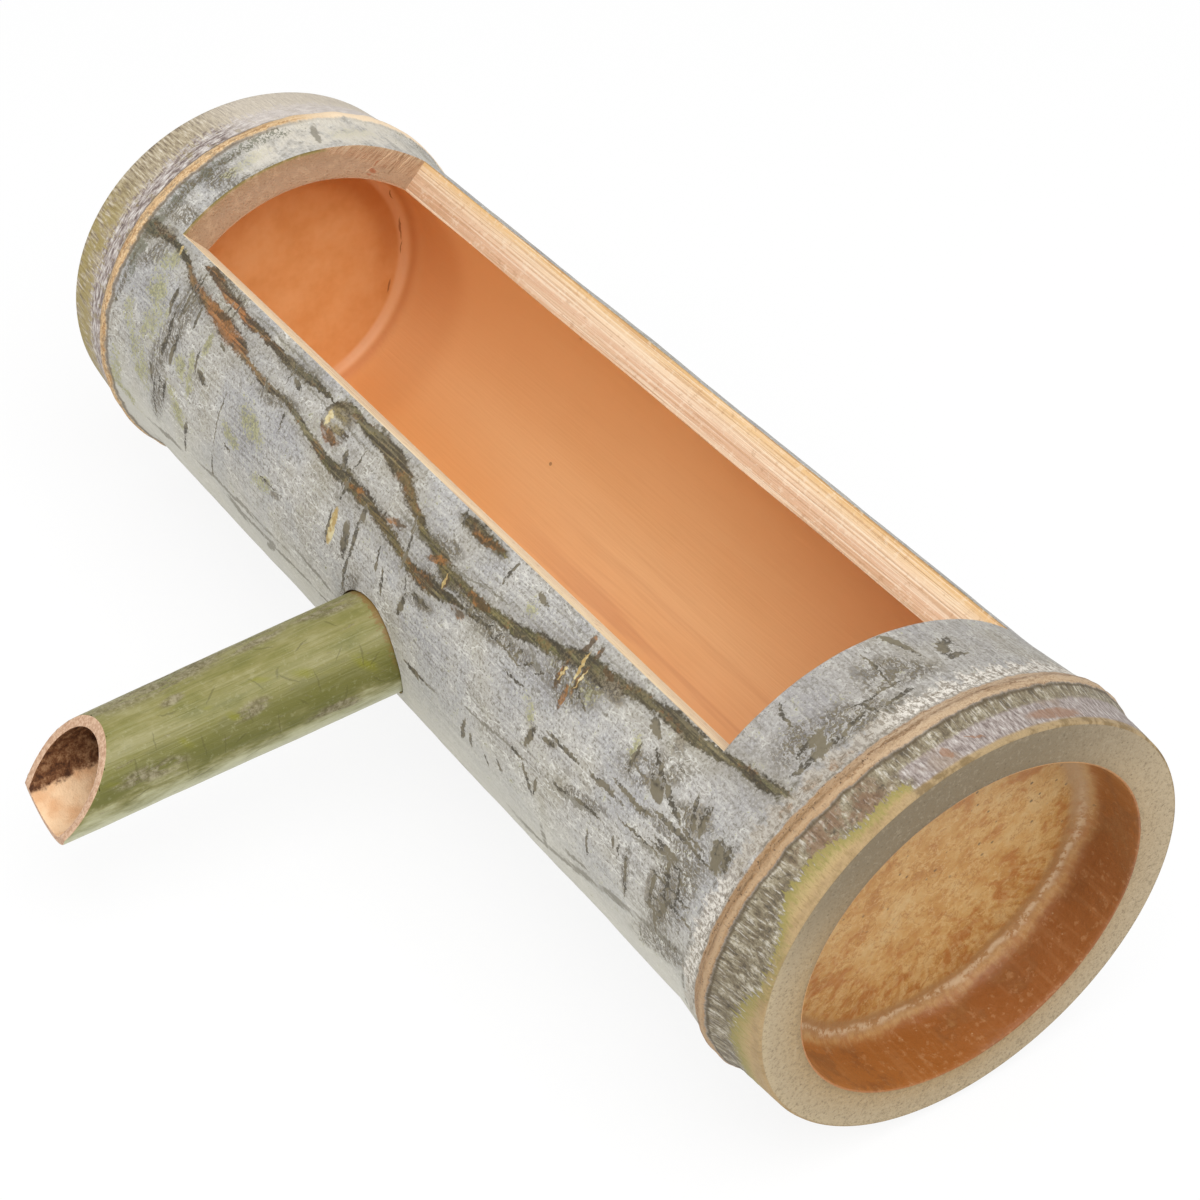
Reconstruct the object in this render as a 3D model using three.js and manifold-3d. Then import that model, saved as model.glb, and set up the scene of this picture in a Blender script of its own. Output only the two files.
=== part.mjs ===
// A bamboo garden trough. One length of thick bamboo culm, closed by its own two nodes,
// has a long window split out of its top, so it holds water. A thin bamboo spout is set
// in a hole bored through its side and is sealed inside with a bead of glue.
// Millimetres. X runs along the culm towards its front end, which has the deeper hollow.
// Z is up through the middle of the window, and the spout leaves towards -Y.

import * as THREE from 'three';
import { mergeVertices } from 'three/addons/utils/BufferGeometryUtils.js';
import Module from 'manifold-3d';

const wasm = await Module();
wasm.setup();

// Mesh steps, as counts
const culmSteps = 64;
const spoutSteps = 40;
const filletSteps = 4;

// Fit between the separate pieces, and how far a cutter runs past what it cuts
const pieceClearance = 0.3;
const cutOverrun = 8;

// Culm, measured from its front end along X
const culmLength = 250;
const frontCutRadius = 45.1;
const bodyFrontRadius = 44.8;
const bodyMiddleRadius = 44;
const bodyRearRadius = 43;
const rearCutRadius = 42.6;

// Nodes: the culm swells there, and the fallen sheath left a raised scar ring
const frontNodeInset = 14.6;
const frontNodeRadius = 46.4;
const rearNodeInset = 14.1;
const rearNodeRadius = 44.1;
const nodeNeckRadiusDrop = 0.7;
const nodeNeckWidth = 3.4;
const nodeSwellWidth = 13;
const scarWidth = 2.4;
const scarHeight = 0.6;
const scarEdgeWidth = 0.6;

// Hollows of the culm, and the grown septum that closes it at each node
const frontMouthRadius = 36.5;
const frontHollowDepth = 13;
const frontSeptumThickness = 4.5;
const frontSeptumDish = 1;
const chamberFrontRadius = 36;
const chamberRearRadius = 35;
const chamberRearInset = 12;
const rearSeptumThickness = 4.5;
const rearSeptumDish = 0.8;
const rearMouthRadius = 34.4;
const septumFilletWidth = 4.2;
const septumFilletLength = 4.6;
const rearFilletLength = 3;

// The culm isn't quite round: how much, and how far its long axis is turned from Z to -Y
const frontOvalShare = 0.048;
const rearOvalShare = 0.034;
const frontOvalTurn = THREE.MathUtils.degToRad(50.5);
const rearOvalTurn = THREE.MathUtils.degToRad(76.3);

// The saw cut, the nodes and the front septum lean: rise along X for each millimetre up,
// and for each millimetre towards the spout
const squareLeanShares = { up: 0, side: 0 };
const frontCutLeanShares = { up: 0.035, side: 0 };
const frontNodeLeanShares = { up: 0.139, side: 0.023 };
const frontSeptumLeanShares = { up: 0.083, side: 0 };
const rearNodeLeanShares = { up: 0.024, side: 0.033 };

// Window split out of the top, with sides that run straight out from the culm's axis
const windowFrontInset = 30.5;
const windowRearInset = 28.6;
const windowHalfAngle = THREE.MathUtils.degToRad(43.25);

// Spout: a thin bamboo tube, sawn square and then cut slanting at its mouth. Its length and
// the slanting cut's reach are measured from the culm's axis.
const spoutInset = 121.2;
const spoutRise = 0.9;
const spoutDip = THREE.MathUtils.degToRad(5);
const spoutSkew = THREE.MathUtils.degToRad(2.3);
const spoutRootRadius = 10.75;
const spoutMouthRadius = 10.1;
const spoutRootWall = 1.9;
const spoutMouthWall = 1.7;
const spoutLength = 113.3;
const spoutReach = 109;
const spoutInnerReach = 4;
const spoutCutSlopeShare = 0.95;

// Bead of glue round the spout's root, inside the trough
const beadWidth = 3.2;
const beadTipWidth = 0.9;

// Places that follow from the sizes above
const frontSeptumBack = frontHollowDepth + frontSeptumThickness;
const rearHollowDepth = chamberRearInset - rearSeptumThickness;
const chamberRearFace = culmLength - chamberRearInset;
const scarShoulder = scarWidth / 2 + scarEdgeWidth;
const spoutRoot = chamberRearRadius - spoutInnerReach;

// One station of a surface grown round the culm's axis
function station(at, radius, leanShares = squareLeanShares) {
  return { at, radius, leanShares };
}

// A turned surface shaped as the culm grew: oval, and leaning where a station leans
function grownSolid(stations) {
  const points = stations.map(({ at, radius }) => new THREE.Vector2(radius, culmLength / 2 - at));
  const geometry = new THREE.LatheGeometry(points, culmSteps);
  const position = geometry.getAttribute('position');
  for (let index = 0; index < position.count; index++) {
    const { at, radius, leanShares } = stations[index % stations.length];
    const column = Math.floor(index / stations.length) % culmSteps;
    const turn = (2 * Math.PI * column) / culmSteps;
    const along = at / culmLength;
    const ovalShare = THREE.MathUtils.lerp(frontOvalShare, rearOvalShare, along);
    const longAxisTurn = THREE.MathUtils.lerp(frontOvalTurn, rearOvalTurn, along);
    const grownRadius = radius * (1 + ovalShare * Math.cos(2 * (turn - longAxisTurn)));
    const side = grownRadius * Math.sin(turn);
    const up = grownRadius * Math.cos(turn);
    const lean = leanShares.up * up + leanShares.side * side;
    position.setXYZ(index, culmLength / 2 - at + lean, -side, up);
  }
  return solidFrom(geometry);
}

// A closed geometry as a solid that can be joined and cut
function solidFrom(geometry) {
  geometry.deleteAttribute('normal');
  geometry.deleteAttribute('uv');
  const merged = mergeVertices(geometry);
  const corners = merged.index.array;
  const triangles = [];
  for (let first = 0; first < corners.length; first += 3) {
    const [a, b, c] = corners.slice(first, first + 3);
    if (a !== b && b !== c && c !== a) triangles.push(a, b, c);
  }
  const vertProperties = new Float32Array(merged.getAttribute('position').array);
  const triVerts = new Uint32Array(triangles);
  return new wasm.Manifold(new wasm.Mesh({ numProp: 3, vertProperties, triVerts }));
}

// A named mesh of a finished solid
function meshOf(name, solid, material) {
  const { vertProperties, triVerts } = solid.getMesh();
  const geometry = new THREE.BufferGeometry();
  geometry.setAttribute('position', new THREE.BufferAttribute(vertProperties, 3));
  geometry.setIndex(new THREE.BufferAttribute(triVerts, 1));
  geometry.computeVertexNormals();
  const mesh = new THREE.Mesh(geometry, material);
  mesh.name = name;
  return mesh;
}

// The swelling and scar ring of a node, from its front side to its rear side
function nodeStations(at, radius, leanShares) {
  const neckRadius = radius - nodeNeckRadiusDrop;
  return [
    station(at - scarShoulder - nodeNeckWidth, neckRadius, leanShares),
    station(at - scarShoulder, radius, leanShares),
    station(at - scarWidth / 2, radius + scarHeight, leanShares),
    station(at + scarWidth / 2, radius + scarHeight, leanShares),
    station(at + scarShoulder, radius, leanShares),
    station(at + scarShoulder + nodeNeckWidth, neckRadius, leanShares),
  ];
}

// The outside of the culm as one closed solid
function culmOutside() {
  const rearNodeAt = culmLength - rearNodeInset;
  const fromFront = [
    station(0, 0, frontCutLeanShares),
    station(0, frontCutRadius, frontCutLeanShares),
    ...nodeStations(frontNodeInset, frontNodeRadius, frontNodeLeanShares),
    station(frontNodeInset + nodeSwellWidth, bodyFrontRadius),
    station(culmLength / 2, bodyMiddleRadius),
    station(rearNodeAt - nodeSwellWidth, bodyRearRadius),
    ...nodeStations(rearNodeAt, rearNodeRadius, rearNodeLeanShares),
    station(culmLength, rearCutRadius),
    station(culmLength, 0),
  ];
  return grownSolid(fromFront.reverse());
}

// The rounded corner between a hollow's wall and its septum, from the wall inwards
function filletStations(wallAt, faceAt, wallRadius, leanShares) {
  const faceRadius = wallRadius - septumFilletWidth;
  const stations = [];
  for (let step = 0; step <= filletSteps; step++) {
    const turn = (Math.PI / 2) * (step / filletSteps);
    const at = wallAt + (faceAt - wallAt) * Math.sin(turn);
    stations.push(station(at, faceRadius + septumFilletWidth * Math.cos(turn), leanShares));
  }
  return stations;
}

// The open hollow in the front end, down to the front septum
function frontHollow() {
  const filletAt = frontHollowDepth - septumFilletLength;
  const fromFront = [
    station(-cutOverrun, 0, frontCutLeanShares),
    station(-cutOverrun, frontMouthRadius, frontCutLeanShares),
    station(0, frontMouthRadius, frontCutLeanShares),
    ...filletStations(filletAt, frontHollowDepth, frontMouthRadius, frontSeptumLeanShares),
    station(frontHollowDepth + frontSeptumDish, 0, frontSeptumLeanShares),
  ];
  return grownSolid(fromFront.reverse());
}

// The shallower open hollow in the rear end
function rearHollow() {
  const faceAt = culmLength - rearHollowDepth;
  const filletAt = faceAt + rearFilletLength;
  const fromRear = [
    station(culmLength + cutOverrun, 0),
    station(culmLength + cutOverrun, rearMouthRadius),
    station(culmLength, rearMouthRadius),
    ...filletStations(filletAt, faceAt, rearMouthRadius, squareLeanShares),
    station(faceAt - rearSeptumDish, 0),
  ];
  return grownSolid(fromRear);
}

// The chamber between the two septa, drawn in all round by an inset
function chamber(inset) {
  const frontFilletAt = frontSeptumBack + septumFilletLength;
  const rearFilletAt = chamberRearFace - septumFilletLength;
  const frontRadius = chamberFrontRadius - inset;
  const rearRadius = chamberRearRadius - inset;
  const frontFace = frontSeptumBack + inset;
  const rearFace = chamberRearFace - inset;
  const fromFront = [
    station(frontFace, 0, frontSeptumLeanShares),
    ...filletStations(frontFilletAt, frontFace, frontRadius, frontSeptumLeanShares).reverse(),
    station(windowFrontInset, frontRadius),
    station(culmLength - windowRearInset, rearRadius),
    ...filletStations(rearFilletAt, rearFace, rearRadius, rearNodeLeanShares),
    station(rearFace + rearSeptumDish, 0, rearNodeLeanShares),
  ];
  return grownSolid(fromFront.reverse());
}

// The wedge that is split out of the culm's top to open the window
function windowWedge() {
  const top = frontCutRadius * (1 + frontOvalShare) + cutOverrun;
  const halfWidth = top * Math.tan(windowHalfAngle);
  const outline = new THREE.Shape([
    new THREE.Vector2(0, 0),
    new THREE.Vector2(halfWidth, top),
    new THREE.Vector2(-halfWidth, top),
  ]);
  const depth = culmLength - windowFrontInset - windowRearInset;
  const geometry = new THREE.ExtrudeGeometry(outline, { depth, bevelEnabled: false });
  geometry.rotateX(Math.PI / 2);
  geometry.rotateZ(Math.PI / 2);
  geometry.translate(windowRearInset - culmLength / 2, 0, 0);
  return solidFrom(geometry);
}

// The spout's own frame: its Y runs out along the tube, and its Z is up
function spoutPlacement() {
  const turned = new THREE.Euler(-spoutDip, 0, Math.PI - spoutSkew, 'ZXY');
  const placement = new THREE.Matrix4().makeRotationFromEuler(turned);
  return placement.setPosition(culmLength / 2 - spoutInset, 0, spoutRise);
}

// A ring or rod turned round the spout's axis
function spoutTurned(outline) {
  const points = outline.map(([radius, out]) => new THREE.Vector2(radius, out));
  return new THREE.LatheGeometry(points, spoutSteps);
}

// The hole bored for the spout through the culm's wall
function spoutHole() {
  const radius = spoutRootRadius + pieceClearance;
  const start = spoutRoot - cutOverrun;
  const end = bodyFrontRadius * (1 + frontOvalShare) + cutOverrun;
  const geometry = spoutTurned([[0, start], [radius, start], [radius, end], [0, end]]);
  return solidFrom(geometry.applyMatrix4(spoutPlacement()));
}

function troughCulm() {
  return culmOutside()
    .subtract(frontHollow())
    .subtract(rearHollow())
    .subtract(chamber(0))
    .subtract(windowWedge())
    .subtract(spoutHole());
}

// The spout stays in its own frame, and its mesh is placed
function spoutTube() {
  const tube = solidFrom(spoutTurned([
    [spoutRootRadius - spoutRootWall, spoutRoot],
    [spoutRootRadius, spoutRoot],
    [spoutMouthRadius, spoutLength],
    [spoutMouthRadius - spoutMouthWall, spoutLength],
    [spoutRootRadius - spoutRootWall, spoutRoot],
  ]));
  return tube.subtract(mouthCut());
}

// What the slanting cut takes away: all that lies outside and above its plane
function mouthCut() {
  const half = spoutMouthRadius + cutOverrun;
  const outline = new THREE.Shape([
    new THREE.Vector2(spoutReach - half * spoutCutSlopeShare, half),
    new THREE.Vector2(spoutReach + half * spoutCutSlopeShare, -half),
    new THREE.Vector2(spoutReach + half * spoutCutSlopeShare, half),
  ]);
  const geometry = new THREE.ExtrudeGeometry(outline, { depth: 2 * half, bevelEnabled: false });
  geometry.translate(0, 0, -half);
  geometry.rotateX(Math.PI / 2);
  geometry.rotateZ(Math.PI / 2);
  return solidFrom(geometry);
}

function spoutGlueBead() {
  const hole = spoutRootRadius + pieceClearance;
  const wallAt = chamberFrontRadius * (1 + frontOvalShare);
  const ring = spoutTurned([
    [hole, spoutRoot + pieceClearance],
    [hole + beadTipWidth, spoutRoot + pieceClearance],
    [hole + beadWidth, wallAt],
    [hole, wallAt],
    [hole, spoutRoot + pieceClearance],
  ]);
  return solidFrom(ring.applyMatrix4(spoutPlacement())).intersect(chamber(pieceClearance));
}

const culmFinish = new THREE.MeshStandardMaterial({ color: 0xa9a79b, roughness: 0.75, metalness: 0 });
const spoutFinish = new THREE.MeshStandardMaterial({ color: 0x8d9152, roughness: 0.5, metalness: 0 });
const beadFinish = new THREE.MeshStandardMaterial({ color: 0xd9cba6, roughness: 0.35, metalness: 0 });

const spout = meshOf('spout_tube', spoutTube(), spoutFinish);
spout.applyMatrix4(spoutPlacement());

// The origin is under the middle of the whole trough, on the ground that it lies on
const trough = new THREE.Group();
trough.add(meshOf('trough_culm', troughCulm(), culmFinish));
trough.add(spout);
trough.add(meshOf('spout_glue_bead', spoutGlueBead(), beadFinish));
trough.updateMatrixWorld(true);
const extent = new THREE.Box3().setFromObject(trough, true);
const middle = extent.getCenter(new THREE.Vector3());
trough.position.set(-middle.x, -middle.y, -extent.min.z);

export default trough;
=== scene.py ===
import functools
import math

import bmesh
import bpy
from mathutils import Matrix, Vector, noise


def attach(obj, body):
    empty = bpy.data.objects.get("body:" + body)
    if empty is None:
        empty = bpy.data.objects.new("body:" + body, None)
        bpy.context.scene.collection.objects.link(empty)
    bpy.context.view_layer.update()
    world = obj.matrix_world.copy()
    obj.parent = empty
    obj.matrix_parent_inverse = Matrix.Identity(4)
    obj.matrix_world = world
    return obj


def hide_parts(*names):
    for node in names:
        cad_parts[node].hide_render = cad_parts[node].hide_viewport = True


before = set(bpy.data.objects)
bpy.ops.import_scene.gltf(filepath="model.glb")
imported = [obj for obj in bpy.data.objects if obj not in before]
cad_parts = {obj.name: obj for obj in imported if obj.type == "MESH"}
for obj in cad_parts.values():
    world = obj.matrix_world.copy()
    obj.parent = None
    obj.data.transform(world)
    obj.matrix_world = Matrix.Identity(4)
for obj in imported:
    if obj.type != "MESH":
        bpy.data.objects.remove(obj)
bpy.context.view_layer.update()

# The camera, where the photograph was taken from. Its place is measured from the middle
# of the culm, the point of the culm's axis that is halfway between its ends.
culm_length = 0.250
culm_middle = Vector((-0.000786, 0.032512, 0.046677))
camera_from_culm = Vector((0.3424, -0.2329, 0.3254))
camera_forward = Vector((-0.63133, 0.44746, -0.6334)).normalized()
camera_right = Vector((0.56628, 0.82402, 0.01768)).normalized()


def linked(name, data):
    """A new object in the scene."""
    made = bpy.data.objects.new(name, data)
    bpy.context.scene.collection.objects.link(made)
    return made


camera_data = bpy.data.cameras.new("camera")
camera_data.lens = 80.14
camera_data.sensor_width = 36
camera_data.clip_start = 0.01
camera = linked("camera", camera_data)
camera_up = camera_right.cross(camera_forward).normalized()
camera_turn = Matrix((camera_right, camera_up, -camera_forward)).transposed().to_4x4()
camera.matrix_world = Matrix.Translation(culm_middle + camera_from_culm) @ camera_turn
bpy.context.scene.camera = camera

# The culm: one length of thick bamboo, sawn off beyond its two nodes. Its skin, the
# scar ring and swelling of each node, the septum that closes each node and the hollows
# in its ends grew as one piece. A window is split out of its top.
columns, window_columns = 208, 25
oval_at_ends = (0.048, 0.034)
oval_turn_at_ends = (math.radians(50.5), math.radians(76.3))
window_front, window_rear = 0.0305, culm_length - 0.0286
window_turn = math.tau * window_columns / columns
skin_radius = 0.044
skin_radii = [(0, 0.0451), (0.0094, 0.0457), (0.0128, 0.0464), (0.0164, 0.0464),
              (0.0198, 0.0457), (0.0276, 0.0448), (0.125, skin_radius), (0.2229, 0.043),
              (0.2307, 0.0434), (0.2341, 0.0441), (0.2377, 0.0441), (0.2411, 0.0434),
              (culm_length, 0.0426)]
scars = (0.0146, culm_length - 0.0154)
scar_height, scar_half_width = 0.0006, 0.0014
stubs = ((0.0085, 0.005), (0.2445, 0.004))
knot_at, knot_arc, knot_radius = 0.150, 0.0385, 0.0035
edge_wear = 0.0004
hairline = 0.00001
fillet_width = 0.0042
front_mouth, front_fillet, front_face = 0.0365, 0.0084, 0.013
rear_mouth, rear_fillet, rear_face = 0.0344, 0.2455, 0.2425
chamber_front, chamber_front_fillet, chamber_front_face = 0.036, 0.0221, 0.0175
chamber_rear, chamber_rear_fillet, chamber_rear_face = 0.035, 0.2334, 0.238
straight, front_cut_lean, front_node_lean = (0, 0), (0.035, 0), (0.139, 0.023)
front_septum_lean, rear_node_lean = (0.083, 0), (0.024, 0.033)
skin_leans = [(0, front_cut_lean), (0.0094, front_node_lean), (0.0198, front_node_lean),
              (0.0276, straight), (0.2229, straight), (0.2307, rear_node_lean),
              (0.2411, rear_node_lean), (culm_length, straight)]
hollow_leans = [(0, front_cut_lean), (front_fillet, front_septum_lean)]
chamber_leans = [(chamber_front_fillet, front_septum_lean), (window_front, straight),
                 (window_rear, straight), (chamber_rear_fillet, rear_node_lean)]
chamber_radii = [(window_front, chamber_front), (window_rear, chamber_rear)]
SKIN, SAWN, HOLLOW, CHAMBER, SPLIT = range(5)


def along(places, at):
    """The value at a place on the culm, on a straight line between the listed places."""
    if at <= places[0][0]:
        return places[0][1]
    for (start, low), (end, high) in zip(places, places[1:]):
        if at <= end:
            share = (at - start) / (end - start)
            if isinstance(low, tuple):
                return tuple(a + (b - a) * share for a, b in zip(low, high))
            return low + (high - low) * share
    return places[-1][1]


def oval(at, turn):
    """How far the culm is out of round at a place, as a factor of its radius."""
    share = at / culm_length
    size = oval_at_ends[0] + (oval_at_ends[1] - oval_at_ends[0]) * share
    long_axis = oval_turn_at_ends[0] + (oval_turn_at_ends[1] - oval_turn_at_ends[0]) * share
    return 1 + size * math.cos(2 * (turn - long_axis))


def grown(at, radius, turn, lean):
    """A point of the culm as it grew, oval and leaning, in the row's frame."""
    radius *= oval(at, turn)
    side, up = radius * math.sin(turn), radius * math.cos(turn)
    offset = lean[0] * up + lean[1] * side
    return culm_middle + Vector((culm_length / 2 - at + offset, -side, up))


def spread(start, end, steps):
    """Evenly spaced values from start to end, both included."""
    return [start + (end - start) * step / steps for step in range(steps + 1)]


def wall(radius, start, end, steps):
    """Points along a wall of one radius, without the first."""
    return [(at, radius) for at in spread(start, end, steps)][1:]


def fillet(wall_at, face_at, wall_radius, steps=7):
    """The rounded corner between a hollow's wall and its septum, from the wall inwards."""
    return [(wall_at + (face_at - wall_at) * math.sin(turn),
             wall_radius - fillet_width * (1 - math.cos(turn)))
            for turn in spread(0, math.pi / 2, steps)]


def septum(face_at, dish, wall_radius, steps=12):
    """A septum's face from its fillet to its middle, which is a little dished."""
    radius = wall_radius - fillet_width
    return [(face_at + dish * math.sin(share * math.pi / 2), radius * (1 - share))
            for share in spread(0, 1, steps)[1:]]


def unevenness(at, turn, size):
    """A smooth random height between -1 and 1 on the culm, in lumps of about one size."""
    across = skin_radius / size
    return noise.noise(Vector((at / size, across * math.sin(turn), across * math.cos(turn))))


def from_ends(at):
    """Brings the relief down to nothing at the sawn ends, so that the faces meet there."""
    return max(0, min(1, at / 0.002, (culm_length - at) / 0.002))


def skin_relief(at, radius, turn):
    """How far the skin stands out: its slow waves, the scar rings and a small knot."""
    ring_at = at + 0.0005 * unevenness(at, turn, 0.006)
    ring = sum(math.exp(-((ring_at - scar) / scar_half_width) ** 4) for scar in scars)
    height = scar_height * ring * (1 + 0.4 * unevenness(at, turn, 0.004))
    knot = math.hypot(at - knot_at, skin_radius * turn - knot_arc) / knot_radius
    height += 0.0005 * math.exp(-((knot - 0.8) / 0.45) ** 2)
    stub = sum(max(0, 1 - abs(at - middle) / reach) for middle, reach in stubs)
    height += 0.00018 * stub * unevenness(at, turn, 0.0016)
    height += 0.00022 * unevenness(at, turn, 0.022) + 0.00008 * unevenness(at, turn, 0.005)
    return height * from_ends(at)


def hollow_relief(at, radius, turn):
    """The hand-cleaned hollows in the ends are a little lumpy."""
    return 0.00025 * unevenness(at, turn, 0.012) * min(1, radius / 0.02) * from_ends(at)


def chamber_relief(at, radius, turn):
    return 0.00018 * unevenness(at, turn, 0.03) * min(1, radius / 0.02)


def spin(body, points, axis, steps, closed=False):
    """Spins a line of points all the way round an axis through the origin."""
    chain = [body.verts.new(point) for point in points]
    following = chain[1:] + chain[:1] if closed else chain[1:]
    edges = [body.edges.new(pair) for pair in zip(chain, following)]
    bmesh.ops.spin(body, geom=chain + edges, cent=(0, 0, 0), axis=axis, dvec=(0, 0, 0),
                   angle=math.tau, steps=steps, use_merge=True)


culm = bmesh.new()


def spin_wall(run, leans, relief, slot, windowed=False):
    """Spins one run of the culm's wall about its axis and shapes it as it grew."""
    body = bmesh.new()
    spin(body, [(culm_length / 2 - at, 0, radius) for at, radius in run], (1, 0, 0), columns)
    if windowed:
        taken = []
        for face in body.faces:
            middle = face.calc_center_median()
            if (window_front < culm_length / 2 - middle.x < window_rear and middle.z > 0
                    and abs(math.atan2(-middle.y, middle.z)) < window_turn):
                taken.append(face)
        bmesh.ops.delete(body, geom=taken, context="FACES")
    for vert in body.verts:
        at = culm_length / 2 - vert.co.x
        radius = math.hypot(vert.co.y, vert.co.z)
        turn = math.atan2(-vert.co.y, vert.co.z)
        height = relief(at, radius, turn) if relief else 0
        vert.co = grown(at, radius + height, turn, along(leans, at))
    for face in body.faces:
        face.material_index = slot
    run_mesh = bpy.data.meshes.new("run")
    body.to_mesh(run_mesh)
    body.free()
    culm.from_mesh(run_mesh)
    bpy.data.meshes.remove(run_mesh)


def worn_edge(at, radius, inwards, outwards):
    """Three points that round a sawn edge: inwards is along the culm, outwards is across."""
    return [(at, radius + outwards * edge_wear),
            (at + inwards * edge_wear * 0.3, radius + outwards * edge_wear * 0.3),
            (at + inwards * edge_wear, radius)]


window_places = spread(window_front, window_rear, 96)
skin_places = (spread(edge_wear, window_front, 50) + window_places[1:]
               + spread(window_rear, culm_length - edge_wear, 38)[1:])
front_skin, rear_skin = along(skin_radii, 0), along(skin_radii, culm_length)
skin_run = (worn_edge(0, front_skin, 1, -1)[:2]
            + [(at, along(skin_radii, at)) for at in skin_places]
            + worn_edge(culm_length, rear_skin, -1, -1)[1::-1])
spin_wall(skin_run, skin_leans, skin_relief, SKIN, windowed=True)
for at, skin, mouth, lean in ((0, front_skin, front_mouth, front_cut_lean),
                              (culm_length, rear_skin, rear_mouth, straight)):
    face_radii = spread(skin - edge_wear, mouth + edge_wear, 6)
    spin_wall([(at, radius) for radius in face_radii], [(0, lean)], None, SAWN)

front_hollow_run = (worn_edge(0, front_mouth, 1, 1) + wall(front_mouth, edge_wear, front_fillet, 10)
                    + fillet(front_fillet, front_face, front_mouth)[1:]
                    + septum(front_face, 0.001, front_mouth, 20))
spin_wall(front_hollow_run, hollow_leans, hollow_relief, HOLLOW)
rear_hollow_run = (worn_edge(culm_length, rear_mouth, -1, 1)
                   + wall(rear_mouth, culm_length - edge_wear, rear_fillet, 5)
                   + fillet(rear_fillet, rear_face, rear_mouth)[1:]
                   + septum(rear_face, -0.0008, rear_mouth))
spin_wall(rear_hollow_run, [(0, straight)], hollow_relief, HOLLOW)
chamber_run = (septum(chamber_front_face, 0, chamber_front)[::-1]
               + fillet(chamber_front_fillet, chamber_front_face, chamber_front)[::-1]
               + wall(chamber_front, chamber_front_fillet, window_front, 6)
               + [(at, along(chamber_radii, at)) for at in window_places[1:]]
               + wall(chamber_rear, window_rear, chamber_rear_fillet, 8)
               + fillet(chamber_rear_fillet, chamber_rear_face, chamber_rear)[1:]
               + septum(chamber_rear_face, 0.0008, chamber_rear, 16))
spin_wall(chamber_run, chamber_leans, chamber_relief, CHAMBER, windowed=True)


def open_edges(body):
    return {edge for edge in body.edges if edge.is_boundary}


def bridge(body, edges, slot, steps=1):
    """Closes the wall between two open edges with a face of so many steps."""
    bridged = bmesh.ops.bridge_loops(body, edges=list(edges))
    for face in bridged["faces"]:
        face.material_index = slot
    crossing = {edge for face in bridged["faces"] for edge in face.edges} - edges
    if steps > 1:
        bmesh.ops.subdivide_edges(body, edges=list(crossing), cuts=steps - 1)
    bmesh.ops.recalc_face_normals(body, faces=body.faces)


def soften(body, edges, width):
    """Takes the sharpness off edges that were cut."""
    bmesh.ops.bevel(body, geom=[edge for edge in edges if edge.is_valid], offset=width,
                    segments=2, profile=0.5, affect="EDGES", material=-1)


# The window's split sides and sawn ends
bmesh.ops.remove_doubles(culm, verts=culm.verts, dist=hairline)
rims = open_edges(culm)
bridge(culm, rims, SPLIT, 6)
soften(culm, rims, 0.0003)

# The hole bored for the spout
spout_start = culm_middle + Vector((0.0038, 0, 0.0009))
spout_dip, spout_skew = math.radians(5), math.radians(2.3)
spout_out = Vector((-math.sin(spout_skew) * math.cos(spout_dip),
                    -math.cos(spout_skew) * math.cos(spout_dip), -math.sin(spout_dip)))
spout_root_radius = 0.01075
hole_radius = spout_root_radius + 0.0003


def from_spout(point):
    """How far out along the spout a point is, and its offset from the spout's axis."""
    out = (point - spout_start).dot(spout_out)
    return out, point - spout_start - out * spout_out


drilled = []
for face in culm.faces:
    out, offset = from_spout(face.calc_center_median())
    if out > 0 and offset.length < hole_radius:
        drilled.append(face)
bmesh.ops.delete(culm, geom=drilled, context="FACES")
culm.normal_update()
hole_edges = open_edges(culm)
for vert in {vert for edge in hole_edges for vert in edge.verts}:
    out, offset = from_spout(vert.co)
    step = offset * (hole_radius / offset.length - 1)
    vert.co += step - vert.normal * step.dot(vert.normal)
bridge(culm, hole_edges, SPLIT, 3)


def bark_place(point):
    """The place along the culm and the turn round it of a point on its skin."""
    local = point - culm_middle
    side, up = -local.y, local.z
    at = square_at = culm_length / 2 - local.x
    for _ in range(3):
        lean = along(skin_leans, at)
        at = square_at + lean[0] * up + lean[1] * side
    return at, math.atan2(side, up)


def unwrap(body, name, place_of, length):
    """A map of the shares along and round a body, with its seam where the turn starts again."""
    shares = body.loops.layers.uv.new(name)
    spot_of = {vert: place_of(vert.co) for vert in body.verts}
    for face in body.faces:
        face.smooth = True
        spots = [spot_of[vert] for vert in face.verts]
        turns = [turn for _, turn in spots]
        crosses_seam = max(turns) - min(turns) > math.pi
        for loop, (at, turn) in zip(face.loops, spots):
            if crosses_seam and turn < 0:
                turn += math.tau
            loop[shares].uv = (at / length, 0.5 + turn / math.tau)


def object_of(body, name):
    """Turns a finished body into an object in the scene."""
    mesh = bpy.data.meshes.new(name)
    body.to_mesh(mesh)
    body.free()
    return linked(name, mesh)


unwrap(culm, "bark", bark_place, culm_length)
trough = object_of(culm, "trough_culm_bamboo")
trough.data.set_sharp_from_angle(angle=math.radians(38))

# How deep each point is in the wall, from 0 inside to 1 at the skin, and how far out
# from the axis it is, from 0 to 1 at the mouth's edge
wall_depth = trough.data.attributes.new("wall_depth", "FLOAT", "POINT")
reach = trough.data.attributes.new("reach", "FLOAT", "POINT")
inner_radii = [(0.01, front_mouth), (0.02, chamber_front), (0.24, chamber_rear),
               (0.245, rear_mouth)]
for vert in trough.data.vertices:
    at, turn = bark_place(vert.co)
    off_axis = math.hypot(vert.co.y - culm_middle.y, vert.co.z - culm_middle.z)
    radius = off_axis / oval(at, turn)
    inner = along(inner_radii, at)
    wall_depth.data[vert.index].value = (radius - inner) / (along(skin_radii, at) - inner)
    reach.data[vert.index].value = radius / inner

studio_level = 1.1


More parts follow.
